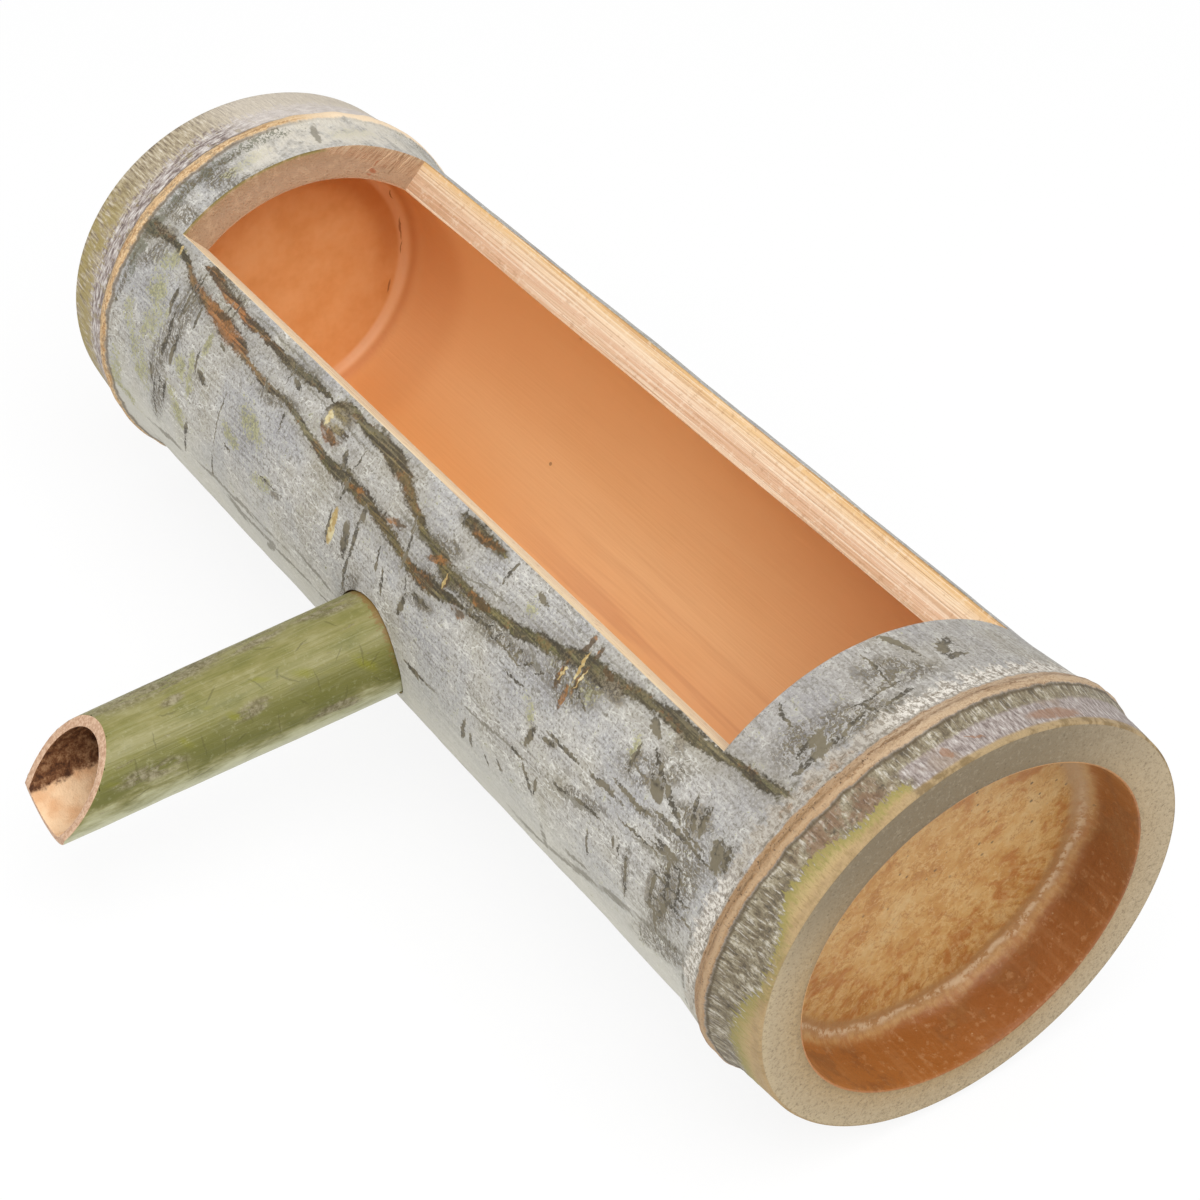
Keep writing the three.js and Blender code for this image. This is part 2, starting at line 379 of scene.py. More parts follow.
def tone(red, green, blue):
    """The paint that looks like a colour of the screen, 0 to 255, at the studio's level."""
    shares = (step / 255 for step in (red, green, blue))
    seen = (s / 12.92 if s < 0.04 else ((s + 0.055) / 1.055) ** 2.4 for s in shares)
    return tuple(value / studio_level for value in seen) + (1,)


class Value:
    """What a shader node sends out. Sums, products and methods add the nodes that follow."""

    def __init__(self, tree, socket=None):
        self.tree, self.socket = tree, socket

    def put(self, kind, inputs, output=0, **settings):
        node = self.tree.nodes.new(kind)
        for name, value in settings.items():
            setattr(node, name, value)
        for key, value in inputs.items():
            if isinstance(value, Value):
                self.tree.links.new(value.socket, node.inputs[key])
            else:
                node.inputs[key].default_value = value
        return Value(self.tree, node.outputs[output])

    def math(self, operation, *others):
        return self.put("ShaderNodeMath", dict(enumerate((self, *others))), operation=operation)

    __add__ = functools.partialmethod(math, "ADD")
    __sub__ = functools.partialmethod(math, "SUBTRACT")
    __mul__ = functools.partialmethod(math, "MULTIPLY")
    __truediv__ = functools.partialmethod(math, "DIVIDE")
    __abs__ = functools.partialmethod(math, "ABSOLUTE")

    def __rsub__(self, other):
        return self.put("ShaderNodeMath", {0: other, 1: self}, operation="SUBTRACT")

    def shifted(self, lumps, reach):
        """This value moved by noise, by about half of the reach each way."""
        return (lumps - 0.5).math("MULTIPLY_ADD", reach, self)

    def fade(self, start, end, high=1, low=0):
        """From low at start smoothly to high at end, and level beyond them."""
        inputs = {"Value": self, "From Min": start, "From Max": end, "To Min": low,
                  "To Max": high}
        return self.put("ShaderNodeMapRange", inputs, interpolation_type="SMOOTHSTEP", clamp=True)

    def band(self, start, end, soft):
        """One between start and end, and zero outside, with soft edges."""
        return self.fade(start - soft, start + soft) * self.fade(end + soft, end - soft)

    def curve(self, points):
        """A smooth curve through points whose both parts lie between 0 and 1."""
        curved = self.put("ShaderNodeFloatCurve", {"Value": self})
        mapping = curved.socket.node.mapping
        line = mapping.curves[0]
        line.points[0].location, line.points[-1].location = points[0], points[-1]
        for point in points[1:-1]:
            line.points.new(*point)
        mapping.update()
        return curved

    def attribute(self, name):
        return self.put("ShaderNodeAttribute", {}, "Fac", attribute_name=name)

    def unwrapped(self, name, length, radius):
        """The place on an unwrapped piece in mm: along it, and round it from the top."""
        shares = self.put("ShaderNodeUVMap", {}, uv_map=name)
        round_mm = 1000 * radius * math.tau
        return shares.mapped((1000 * length, round_mm, 0), (0, -round_mm / 2, 0))

    def split(self):
        """The three parts of a vector."""
        parts = self.put("ShaderNodeSeparateXYZ", {0: self}).socket.node.outputs
        return [Value(self.tree, part) for part in parts]

    def mapped(self, scale, place=(0, 0, 0)):
        return self.put("ShaderNodeMapping", {"Vector": self, "Location": place, "Scale": scale})

    def shaken(self, size, reach):
        """A vector moved about by noise in lumps of one size, at most by its reach."""
        here = self.put("ShaderNodeTexCoord", {}, "Object")
        lumps = self.put("ShaderNodeTexNoise", {"Vector": here, "Scale": 1 / size, "Detail": 1},
                         "Color")
        centred = self.put("ShaderNodeVectorMath", {0: lumps, 1: (0.5, 0.5, 0.5)},
                           operation="SUBTRACT")
        moved = self.put("ShaderNodeVectorMath", {0: centred, 1: (2 * reach,) * 3, 2: self},
                         operation="MULTIPLY_ADD")
        return moved.mapped((1, 1, 1))

    def texture(self, kind, inputs, output, scale, place=(0, 0, 0), turn=0, **settings):
        """A texture over a vector, whose pattern is placed, turned and stretched to the scale."""
        pattern = self.put(kind, {"Vector": self, **inputs}, output, **settings)
        mapping = pattern.socket.node.texture_mapping
        mapping.vector_type = "TEXTURE"
        mapping.translation, mapping.rotation, mapping.scale = place, (0, 0, turn), scale
        return pattern

    def grain(self, size, detail=2, roughness=0.55, place=(0, 0, 0), turn=0):
        """Noise in lumps of about one size, or of a length, a width and a height."""
        size = size if isinstance(size, tuple) else (size,) * 3
        inputs = {"Scale": 1, "Detail": detail, "Roughness": roughness}
        return self.texture("ShaderNodeTexNoise", inputs, "Fac", size, place, turn)

    def cells(self, size):
        """The distance to the nearest of many scattered points."""
        return self.texture("ShaderNodeTexVoronoi", {"Scale": 1}, "Distance", (size,) * 3)

    def stroke(self, x0, y0, x1, y1, width):
        """A stroke of the brush from one place to another: one at its middle, zero at its edge."""
        reach = ((math.dist((x0, y0), (x1, y1)) + width) / 2, width / 2, 1)
        return self.texture("ShaderNodeTexGradient", {}, "Fac", reach,
                            ((x0 + x1) / 2, (y0 + y1) / 2, 0), math.atan2(y1 - y0, x1 - x0),
                            gradient_type="SPHERICAL")

    def strokes(self, marks):
        """Many strokes as one mask, before it is hardened."""
        return most(*(self.stroke(*mark) for mark in marks))

    def ramp(self, *stops):
        """A colour for each value, from stops of a place and a red, green and blue."""
        colours = self.put("ShaderNodeValToRGB", {"Fac": self})
        elements = colours.socket.node.color_ramp.elements
        while len(elements) < len(stops):
            elements.new(1)
        for element, (place, *paint) in zip(elements, stops):
            element.position, element.color = place, tone(*paint)
        return colours

    def painted(self, *layers):
        """This colour with paints laid over it, each by its share."""
        colour = self
        for share, paint in layers:
            paint = paint if isinstance(paint, Value) else tone(*paint)
            colour = self.put("ShaderNodeMix", {0: share, 6: colour, 7: paint}, 2, data_type="RGBA")
        return colour

    def between(self, start, end, first, second):
        """The first paint below start, the second above end and their mixes between."""
        inputs = {0: self.fade(start, end), 6: tone(*first), 7: tone(*second)}
        return self.put("ShaderNodeMix", inputs, 2, data_type="RGBA")

    def done(self, height, depth, roughness=None):
        """Ends a finish: this colour, with the bumps of a height that is so many metres deep."""
        bump = self.put("ShaderNodeBump", {"Height": height, "Strength": 1, "Distance": depth})
        sent = {"Base Color": self, "Normal": bump}
        if roughness:
            sent["Roughness"] = roughness
        for name, value in sent.items():
            socket = self.tree.nodes["Principled BSDF"].inputs[name]
            self.tree.links.new(value.socket, socket)


def most(*values):
    return functools.reduce(lambda high, value: high.math("MAXIMUM", value), values)


def start_finish(piece, name, roughness, gloss, coat=0):
    """Gives a piece its next finish, and sends out where each point lies in the object."""
    material = bpy.data.materials.new(name)
    material.use_nodes = True
    piece.data.materials.append(material)
    inputs = material.node_tree.nodes["Principled BSDF"].inputs
    inputs["Roughness"].default_value = roughness
    inputs["Specular IOR Level"].default_value = gloss
    inputs["Coat Weight"].default_value = coat
    return Value(material.node_tree).put("ShaderNodeTexCoord", {}, "Object")


# The bark: a warm grey waxy bloom over the skin, with long dark streaks that branches
# rubbed, scratches across it, patches of lichen, and a pale scar ring at each node. Places
# on it are in millimetres: along the culm from its front end, and round it from the top.
bark = start_finish(trough, "weathered_bark", 0.66, 0.3)
length_mm = 1000 * culm_length
bark_mm = bark.unwrapped("bark", culm_length, skin_radius)
loose_mm = bark_mm.shaken(0.006, 0.9).shaken(0.0008, 0.65)
at_mm, arc_mm, _ = bark_mm.split()
loose_at, loose_arc, _ = loose_mm.split()
at_share = loose_at / length_mm

fibre = bark.grain((0.022, 0.0006, 0.0006), 2, 0.6)
clump = bark.grain((0.012, 0.0024, 0.0024), 3, 0.65)
blotch = bark.grain(0.016, 4, 0.6)
patchy = bark.grain(0.0036, 3, 0.7)
fleck = bark.grain(0.0006, 2, 0.75)
bloom = blotch.ramp(
    (0.32, 154, 152, 153), (0.44, 168, 166, 164), (0.55, 180, 176, 169),
    (0.68, 166, 160, 145)).painted(
    (patchy.fade(0.54, 0.7, 0.5), (194, 191, 184)),
    (patchy.fade(0.46, 0.32, 0.55), (138, 133, 122)),
    (fibre.fade(0.52, 0.68, 0.5), (202, 200, 193)),
    (fibre.fade(0.46, 0.32, 0.5), (128, 123, 112)),
    (fleck.fade(0.55, 0.66, 0.5), (222, 220, 214)),
    (fleck.fade(0.46, 0.34, 0.66), (104, 98, 82)))
net = bark.grain((0.009, 0.0042, 0.0042), 3, 0.62)
pale_net = abs(net - 0.5).fade(0.013, 0.003) * blotch.fade(0.46, 0.54, 0.9, 0.2)
dark_net = abs(net - 0.41).fade(0.009, 0.002) * patchy.fade(0.48, 0.56, 0.55)
bloom = bloom.painted(
    (pale_net, (216, 214, 206)),
    (dark_net, (116, 108, 90)),
    # Paler from the sides downwards: partly the waxy bloom, partly painted light bounced up from
    # the white floor
    (abs(arc_mm).fade(58, 82, 0.75), (208, 205, 192)),
    (at_mm.fade(33, 29) * abs(arc_mm).fade(50, 30) * 0.35, (132, 126, 120)))

# Lichen
lichen_marks = [
    (221, 43, 214, 50, 12), (221, 58, 215, 66, 12), (203, 53, 202, 57, 7), (195, 43, 195.6, 50, 4),
    (227, 51, 226, 56, 8), (230, 66, 232, 74, 8), (182, 57, 175, 58.5, 5), (178, 50, 168, 54, 8),
    (73, 50, 70, 53, 5), (230, 75, 224, 78, 8), (46, 40, 45, 46, 4), (217, 50, 218, 57, 9),
    (229, -22, 226, -8, 8), (216, 35.5, 222, 41, 7), (160, 60, 168, 61, 7), (199, 47, 197, 60, 5),
    (83, 37.5, 81, 38.5, 4), (58, 41, 66, 43, 6), (228, 4, 226, 20, 7), (206, 60, 198, 68, 8)]
lichen = loose_mm.strokes(lichen_marks).fade(0, 0.7)
back = (arc_mm + 138).fade(0, 92, 0, 1)
wild_lichen = bark.grain(0.029, 3, 0.7).fade(0.55, 0.66) * back
speckle = fleck * 1.5 + patchy * 1.2
lichen = most(lichen, wild_lichen) * 0.42 + speckle
rear_top = at_mm.fade(219, 225) * arc_mm.fade(22, 6) * arc_mm.fade(-40, -24)
rear_specks = at_mm.band(229.5, 233.5, 1.6) * arc_mm.fade(-14, 8) * arc_mm.fade(60, 44)
bloom = bloom.painted(
    (lichen.fade(1.6, 1.8, 0.74), fleck.between(0.46, 0.6, (134, 132, 80), (172, 168, 120))),
    (rear_top * patchy.fade(0.36, 0.56, 0.7, 0.25), (222, 214, 198)),
    ((rear_specks * 0.5 + speckle).fade(1.7, 1.86, 0.75), (88, 90, 70)))

# Long streaks


def streak(path, halves):
    """Below one inside a long streak, from the places, arcs and half widths of its path."""
    middle = at_share.curve([(at / length_mm, arc_mm / 100) for at, arc_mm in path])
    half = at_share.curve([(at / length_mm, half_mm / 10) for at, half_mm in halves])
    return abs(loose_arc - middle * 100) / (half * 11.5).math("MAXIMUM", 0.001)


streak_1 = streak(
    [(0, 46), (68, 46), (75, 46.2), (85, 46), (95, 47), (100, 47.8), (106, 48.6), (110, 48.8),
     (115, 48.2), (120, 47.2), (125, 46.7), (130, 46.3), (135, 45.8), (140, 45.2), (145, 45.8),
     (150, 45.2), (155, 44.4), (160, 43.7), (165, 43.3), (170, 43), (175, 43.1), (180, 42.6),
     (185, 41.6), (190, 41.3), (195, 41), (200, 40), (205, 39.3), (210, 38.6), (213, 37.4),
     (217, 36), (221, 35.6), (226, 36), (231, 36.6), (250, 37)],
    [(0, 0), (88, 0), (92, 0.3), (96, 0.3), (99, 0.5), (102, 0.8), (106, 1.3), (112, 1.1),
     (120, 1.2), (128, 1.1), (136, 1.3), (145, 1.6), (151, 0.9), (158, 0.8), (166, 0.6),
     (174, 0.7), (180, 0.7), (185, 1.4), (192, 1.7), (200, 1.5), (205, 1.0), (211, 0.9),
     (217, 0.7), (223, 0.9), (228, 1.3), (232, 1.6), (235, 0), (250, 0)])
streak_2 = streak(
    [(0, 36), (95, 35), (108, 35.2), (150, 36), (160, 36.5), (180, 36.9), (190, 36.5),
     (200, 35.5), (208, 34.5), (250, 34)],
    [(0, 0), (93, 0), (96, 0.8), (105, 1.1), (109, 0), (152, 0), (156, 0.4), (166, 0.8),
     (180, 0.6), (190, 1.0), (200, 0.9), (208, 0.4), (210, 0), (250, 0)])
streak_3 = streak(
    [(0, 30), (18, 31), (24, 32.6), (30, 34.3), (35, 35), (40, 35.4), (45, 35.8), (50, 36.2),
     (55, 37), (60, 38), (66, 38.8), (70, 39.8), (75, 41.2), (80, 42.2), (85, 43.1), (90, 44),
     (95, 44.3), (100, 44.5), (105, 44), (110, 43), (115, 41.8), (120, 39.9), (125, 37.7),
     (130, 36.4), (135, 35.6), (140, 35.2), (150, 35.4), (154, 36.2), (250, 36.2)],
    [(0, 0), (18, 0), (22, 0.9), (28, 0.9), (34, 1.1), (46, 1.2), (55, 1.2), (61, 1.7),
     (68, 1.2), (76, 1.1), (84, 1.1), (92, 1.3), (98, 1.4), (106, 1.5), (113, 1.1), (119, 1.4),
     (125, 1.8), (131, 1.6), (138, 1.3), (146, 0.8), (151, 0.7), (154, 0), (250, 0)])
streaks = streak_1.math("MINIMUM", streak_2).math("MINIMUM", streak_3)
streaks = streaks.shifted(clump, 2.0).shifted(fleck, 1.1)
streak_shade = at_share.ramp(
    (0.06, 112, 104, 76), (0.22, 104, 94, 62), (0.36, 112, 104, 58), (0.42, 116, 98, 50),
    (0.5, 108, 88, 48), (0.6, 112, 106, 66), (0.66, 126, 120, 98), (0.71, 140, 112, 74),
    (0.75, 168, 110, 58), (0.82, 170, 114, 62), (0.86, 98, 92, 66), (0.93, 92, 92, 72)).painted(
    (patchy.fade(0.53, 0.6, 0.6), (146, 98, 50)),
    (blotch.fade(0.5, 0.4, 0.5), (96, 96, 54)),
    (clump.fade(0.51, 0.43, 0.8), (60, 52, 36)),
    (fleck.fade(0.48, 0.38, 0.5), (42, 36, 26)),
    (fleck.fade(0.56, 0.66, 0.35), (170, 146, 100)),
    (fibre.fade(0.56, 0.66, 0.3), (164, 150, 112)),
    (fibre.fade(0.47, 0.4, 0.6), (48, 40, 28)),
    (streaks.band(0.45, 1.2, 0.25) * 0.45, (60, 52, 38)))
coat = bloom.painted(
    (streaks.fade(5, 1, 0.3), (122, 114, 92)),
    (streaks.fade(1.25, 0.6, 0.95), streak_shade))

# Fainter streaks, and the ones on the sides that the photograph doesn't show
faint_marks = [
    (200, 73.5, 150, 70.5, 2.0), (188, 75, 130, 73, 1.6), (222, 79, 198, 74, 2.0),
    (156, 67.5, 134, 68.5, 1.3), (66, 78, 46, 72.5, 3.4), (80, 79.5, 64, 78, 3),
    (47, 72.5, 30, 68, 2.8), (111, 66.6, 96, 66, 1.2), (32, 68.5, 22, 66, 2.4),
    (92, 62.8, 66, 60.6, 1.0), (62, 60, 45, 57.4, 1.6), (58, 72.5, 48, 71, 1.2),
    (46, 56.5, 24, 52, 0.9), (182, 73, 172, 77, 3), (166, 78, 161, 73, 2.4),
    (170, 60, 154, 59, 0.6), (104, 43.5, 92, 40.8, 0.8), (64, 72, 64.5, 80, 2),
    (98, 41, 84, 40.6, 0.5), (124, 43.2, 109, 42.8, 0.9), (182, 37.4, 130, 38.4, 0.7),
    (150, 34.6, 124, 35, 0.8), (208, 34.4, 196, 34.2, 1.4), (160, 34.8, 190, 34.9, 0.8),
    (78, 43.2, 70, 46, 1.6), (232, -7, 224, -4.5, 2.2), (60, 45.8, 72, 41.5, 0.8)]
broken = clump.fade(0.34, 0.58, 1.5, 0.3)
faint = (loose_mm.strokes(faint_marks) * broken).fade(0.06, 0.5)
wild = (bark.grain((0.11, 0.0067, 0.0067), 3, 0.6, (0.3, 0.1, 0.2)).fade(0.59, 0.65)
        * clump.fade(0.38, 0.52))
hidden = abs(arc_mm - 24).fade(58, 66)
node_free = at_mm.band(24, 229, 3)
coat = coat.painted(
    (faint * 0.66, (108, 102, 84)),
    (wild * hidden * node_free * 0.85, streak_shade))

# Scribbled patches, where many short scratches cross
dash_round = loose_mm.grain((0.5, 3.6, 1), 2, 0.65, turn=0.3)
dash_along = loose_mm.grain((4.2, 0.5, 1), 2, 0.65, turn=-0.22)
hatching = most(dash_round.fade(0.45, 0.52) * patchy.fade(0.42, 0.5),
                dash_along.fade(0.45, 0.52) * patchy.fade(0.56, 0.48))
hatching = hatching * fleck.fade(0.38, 0.52, 1, 0.3)
scribbled = [
    (27.5, 54, 29.5, 66, 8), (24.5, 55, 23.5, 63, 3.5), (26, 43.5, 31, 45.6, 5.5),
    (37, 42.5, 44.5, 44.5, 6.5), (24, 49, 46, 50.5, 2.4), (21.5, 43.5, 22.5, 47.5, 4.5),
    (72, 45, 98, 46.6, 3.6), (207, 36, 210, 57, 6.5), (206.5, 60, 213.5, 73, 7),
    (61, 41.5, 69, 43, 11), (103, 40.5, 112, 42, 5), (221.6, 6, 221.6, 27, 2.6),
    (221, 29.5, 231, 31, 7), (231, 8, 231.4, 36, 3), (225, 18, 230, 20, 9),
    (228, 36, 232, 38, 4.5), (231.6, 38, 232, 60, 1.6), (38.2, 56, 37.8, 68, 3),
    (158, 36, 178, 38, 4), (104, 52, 113, 53.5, 3.6), (44, 55, 60, 58.5, 3),
    (20.5, 6, 24, 28, 4.5), (24, -2, 26, 12, 5), (20, 66, 36, 74, 8), (93, 43, 112, 48, 3.5),
    (128, 60, 133, 67, 5), (52, 36, 60, 40, 5), (25, 46, 29, 68, 11), (34, 40, 47, 47, 8),
    (72, 44.8, 100, 47.2, 4.6), (204, 38, 213, 64, 10), (160, 42, 176, 46, 4), (22, 8, 25, 30, 7),
    (222, 36, 229, 44, 7), (190, 34.5, 206, 33.8, 3), (92, 35, 110, 35.6, 3.6)]
scribble = loose_mm.strokes(scribbled).fade(0.03, 0.45)
wild_scribble = blotch.fade(0.54, 0.62) * hidden * node_free * 0.7
coat = coat.painted(
    (most(scribble, wild_scribble) * hatching * 0.88,
     fleck.between(0.44, 0.56, (60, 52, 40), (104, 94, 72))))
smudges = [
    (60, 38, 53.5, 39.2, 3.8), (134, 53, 133.8, 58, 3.4), (69, 54, 69.4, 57.4, 2.8),
    (22, 43.5, 22.4, 47.5, 3.4), (112.4, 53.4, 112.8, 58, 2.4), (36, 44, 40, 45, 3.6),
    (27, 42, 27.6, 46, 4), (44.6, 42, 44.8, 46, 2.6), (31.4, 56, 31.8, 64, 3),
    (27, 56, 28, 65, 4.4), (105, 52.2, 109, 53, 2.2), (64.6, 54, 62.6, 53.2, 2),
    (209.4, 47, 209.6, 57, 2.4), (206.2, 50, 206, 56, 2), (212, 42, 211.8, 47, 2),
    (222, 34, 231, 36, 2.6), (158, 60, 161, 61, 2), (193, 53, 195, 53, 2.6), (39, 37, 38, 38, 3.4),
    (152, 36, 146, 37, 4.6)]
smudge = loose_mm.strokes(smudges) * fleck.fade(0.36, 0.56, 1.4, 0.5)
coat = coat.painted(
    (smudge.fade(0.04, 0.5, 0.72), fleck.between(0.42, 0.58, (76, 66, 52), (130, 120, 100))))

# Scratches across the bark
scratches = [
    (212.5, 41, 211.6, 48, 1.7), (209.6, 42, 209, 57, 1.3), (208, 35, 207.3, 49, 1.1),
    (206.2, 47, 205.5, 57, 1.3), (209.7, 47.5, 209.4, 51.5, 2.0), (205.4, 40, 207.6, 47, 0.9),
    (209.9, 52.6, 209.4, 56.6, 2.0), (206.4, 52, 206, 56, 1.5), (202.4, 41, 201.8, 46, 1.3),
    (206.9, 34.5, 206.4, 44, 0.9), (213.6, 59, 212.8, 64, 1.6), (211.2, 60, 212.4, 73, 1.2),
    (209.5, 60, 209.2, 66, 1.2), (206.8, 60, 207.2, 66, 1.2), (197.2, 65, 197.8, 68.6, 1.7),
    (199.8, 74.5, 197.6, 68, 1.1), (195, 52.6, 192, 53.2, 2.6), (197, 47, 196.4, 55, 1.0),
    (192.8, 34.5, 192.3, 39.5, 0.9), (195, 36, 194.4, 39.5, 0.7), (191.6, 44, 189.6, 44.6, 1.2),
    (183.2, 49, 185, 65, 0.6), (185.4, 66, 187, 73, 1.0), (168, 35.5, 168.2, 41, 0.7),
    (164, 45, 163.4, 48.5, 0.9), (173.5, 42.5, 171.4, 44.5, 1.4), (166.5, 38.5, 163, 39.5, 1.8),
    (143.2, 41.5, 141.4, 44, 2.0), (138.2, 38, 138.9, 44, 0.8), (134.2, 52, 133.6, 58.5, 3.0),
    (131.2, 47.5, 131.6, 58, 1.5), (131.8, 57, 132.5, 65, 1.6), (181, 60.3, 178, 60.8, 0.8),
    (167.5, 59, 157, 59.5, 0.5), (152, 37, 151, 34, 0.8), (139.8, 51, 139.8, 60, 1.2),
    (131.4, 47.3, 130.6, 49, 2.2), (123.5, 49, 122.4, 56, 0.7), (120.6, 53, 119.8, 58.6, 1.5),
    (117.6, 41, 117, 44, 0.7), (138.4, 44, 138.6, 50, 0.8), (113.6, 49.6, 112.4, 53.5, 0.6),
    (116.7, 42.5, 115.3, 51.5, 1.2), (112.4, 53.5, 112.6, 58.5, 1.9), (111, 52.6, 105, 52, 1.6),
    (108.5, 33.5, 106.5, 37, 0.9), (90.6, 34, 90.8, 39, 1.0), (82.5, 35.8, 79, 36, 1.4),
    (82, 49.8, 73.5, 49.5, 0.8), (68.6, 53.6, 69.5, 57.6, 2.2), (66, 52.5, 54, 51.9, 1.3),
    (66, 54, 63, 53.6, 1.5), (54, 52, 42, 51.9, 1.3), (48, 50, 34, 49.7, 1.3),
    (35, 51.8, 26, 51.8, 1.2), (55, 58, 46, 57.4, 1.2), (61, 59.8, 55.5, 58.6, 1.0),
    (73.6, 61.2, 70, 61.4, 1.2), (70, 61.8, 66.6, 66.6, 1.4), (66.4, 66.8, 65.3, 62, 1.2),
    (110.5, 66.6, 101, 66.2, 1.4), (109, 66.5, 104.5, 67.2, 1.8), (88.4, 65, 90, 71.6, 1.6),
    (86.6, 67, 87, 71, 0.9), (49.4, 61.5, 49.6, 67.5, 1.0), (38.2, 58, 37.6, 68, 1.3),
    (42.6, 58, 42.2, 60.2, 1.2), (40.8, 58.4, 40.4, 60.4, 0.8), (82, 68.5, 81, 71, 1.0),
    (77.4, 67, 76.6, 69, 1.4), (46.2, 37, 42.4, 39, 1.8), (42.2, 40.2, 36, 43.6, 1.5),
    (36.5, 43.2, 30, 47, 1.7), (39, 44.2, 35.6, 46, 3.0), (45.2, 41, 44.6, 47, 1.3),
    (29, 41, 27.4, 46, 1.6), (26.8, 40.5, 26.2, 46, 1.3), (23.3, 43, 22.2, 48, 2.2),
    (22, 42.5, 20.8, 47, 1.6), (30.8, 55, 31.2, 65, 1.5), (29.6, 62, 28.6, 68, 1.6),
    (28.5, 52, 27.5, 60, 1.5), (26.2, 52, 24.8, 60, 1.1), (26, 58, 28.6, 66, 1.4),
    (30, 59.5, 21, 59.2, 1.0), (38, 48.4, 20, 47.8, 1.2), (30, 47.2, 24, 46.8, 0.9),
    (29.6, 1.6, 25.8, -1, 1.5), (22.2, 5, 21.9, 12, 0.9), (24.6, 4.5, 24.4, 17, 0.8),
    (23, 13, 21.6, 22, 0.9), (22, 20, 21.8, 30, 1.5), (24.6, 20, 23.4, 27, 1.2),
    (24, -9.5, 24.8, -4, 1.2), (28, 7, 24.5, 7.5, 0.8), (30, 21.6, 25.5, 24, 0.7),
    (27, -10, 25, -4, 1.6), (21.4, 12.6, 24.6, 13.4, 1.2), (20.8, 24, 25, 21.6, 1.6),
    (71.5, 44.4, 73.5, 46.2, 0.9), (74.6, 44.4, 76.8, 46.4, 0.9), (78, 44.2, 79.6, 46.4, 0.8),
    (81, 44.8, 83, 46.6, 0.9), (84.4, 45, 86, 46.8, 0.8), (87.6, 45, 89.4, 47, 0.9),
    (91, 45.4, 92.4, 47.2, 0.8), (94, 45.6, 96, 47.4, 0.9), (73, 47, 98, 46.2, 0.7),
    (37, 52.8, 22, 52.4, 0.8), (44, 54, 30, 53.6, 0.7), (33, 57, 21.6, 57, 0.9),
    (32.6, 60.8, 24, 61, 0.8), (33, 63.4, 26, 63.6, 0.8), (58, 44.6, 66, 41, 0.8)]
scratch = loose_mm.strokes(scratches) * (fleck + patchy).fade(0.78, 1.08, 1.7, 0.3)
scratch_shade = patchy.between(0.42, 0.58, (62, 55, 42), (112, 103, 82))
coat = coat.painted(
    (scratch.fade(0.02, 0.09, 0.22), (204, 201, 192)),
    (scratch.fade(0.09, 0.42, 0.92), scratch_shade))

# Rubbed patches: the knot, brown claw marks, orange spots and the pale blister
knot = loose_mm.stroke(150.4, 38.8, 148.8, 39.4, 8.6)
knot_ring = (knot * patchy.fade(0.4, 0.6, 1.3, 0.7)).fade(0.04, 0.16)
knot_shade = knot.between(0.16, 0.4, (72, 60, 38), (136, 122, 84)).painted(
    (loose_arc.fade(40, 42.6, 0.7), (140, 88, 42)),
    (fleck.fade(0.5, 0.4, 0.6), (58, 48, 32)))
coat = coat.painted((knot_ring * clump.fade(0.56, 0.44, 0.9, 0.35), knot_shade))
claws = [
    (66.4, 33.5, 66.4, 38.5, 1.4), (63.6, 34, 63.6, 38, 1.2), (68, 40, 68, 45.5, 1.5),
    (63.4, 38, 64, 44.5, 1.4), (65.6, 43, 65.2, 47.4, 1.8), (60.5, 37, 58, 37.6, 2),
    (106.5, 48, 109.5, 48.6, 3.4), (114, 48.2, 110.5, 48.4, 1.4), (99.5, 48, 96, 48.8, 2.8),
    (104, 35.6, 95, 34.8, 2.2), (207.5, 34, 200, 34.6, 1.8), (149.6, 41.3, 147.6, 41.8, 2.6),
    (97, 44.2, 90, 43.8, 2.0), (103.4, 45, 103, 48, 2.2), (106, 43.6, 110, 45.2, 2.0),
    (138, 45.6, 134, 45.2, 1.6), (201, 39, 190, 40, 2.2), (126.6, 45.4, 118, 44, 1.4),
    (18.6, 21, 18.6, 24, 3.4), (18.8, 27, 18.8, 28.4, 2.4), (18.6, 32.6, 18.8, 34, 2.2)]
claw = loose_mm.strokes(claws) * broken
claw_shade = patchy.between(0.46, 0.6, (88, 68, 42), (152, 104, 56)).painted(
    (fleck.fade(0.5, 0.38, 0.6), (60, 48, 32)))
coat = coat.painted((claw.fade(0.05, 0.4, 0.85), claw_shade))
pale_marks = [(152.2, 38, 151.6, 40, 2.0), (138.2, 51, 138.8, 59, 2.6),
              (65.4, 36.5, 64.8, 43, 0.9), (103.8, 44.4, 103.2, 47.4, 0.9),
              (63.2, 39, 63.8, 43, 0.5), (67.6, 41, 68, 44, 0.6), (218, 36.6, 219, 34.8, 1.2)]
pale = loose_mm.strokes(pale_marks).fade(0.08, 0.34)
coat = coat.painted((pale, patchy.between(0.44, 0.56, (176, 150, 96), (212, 198, 154))))

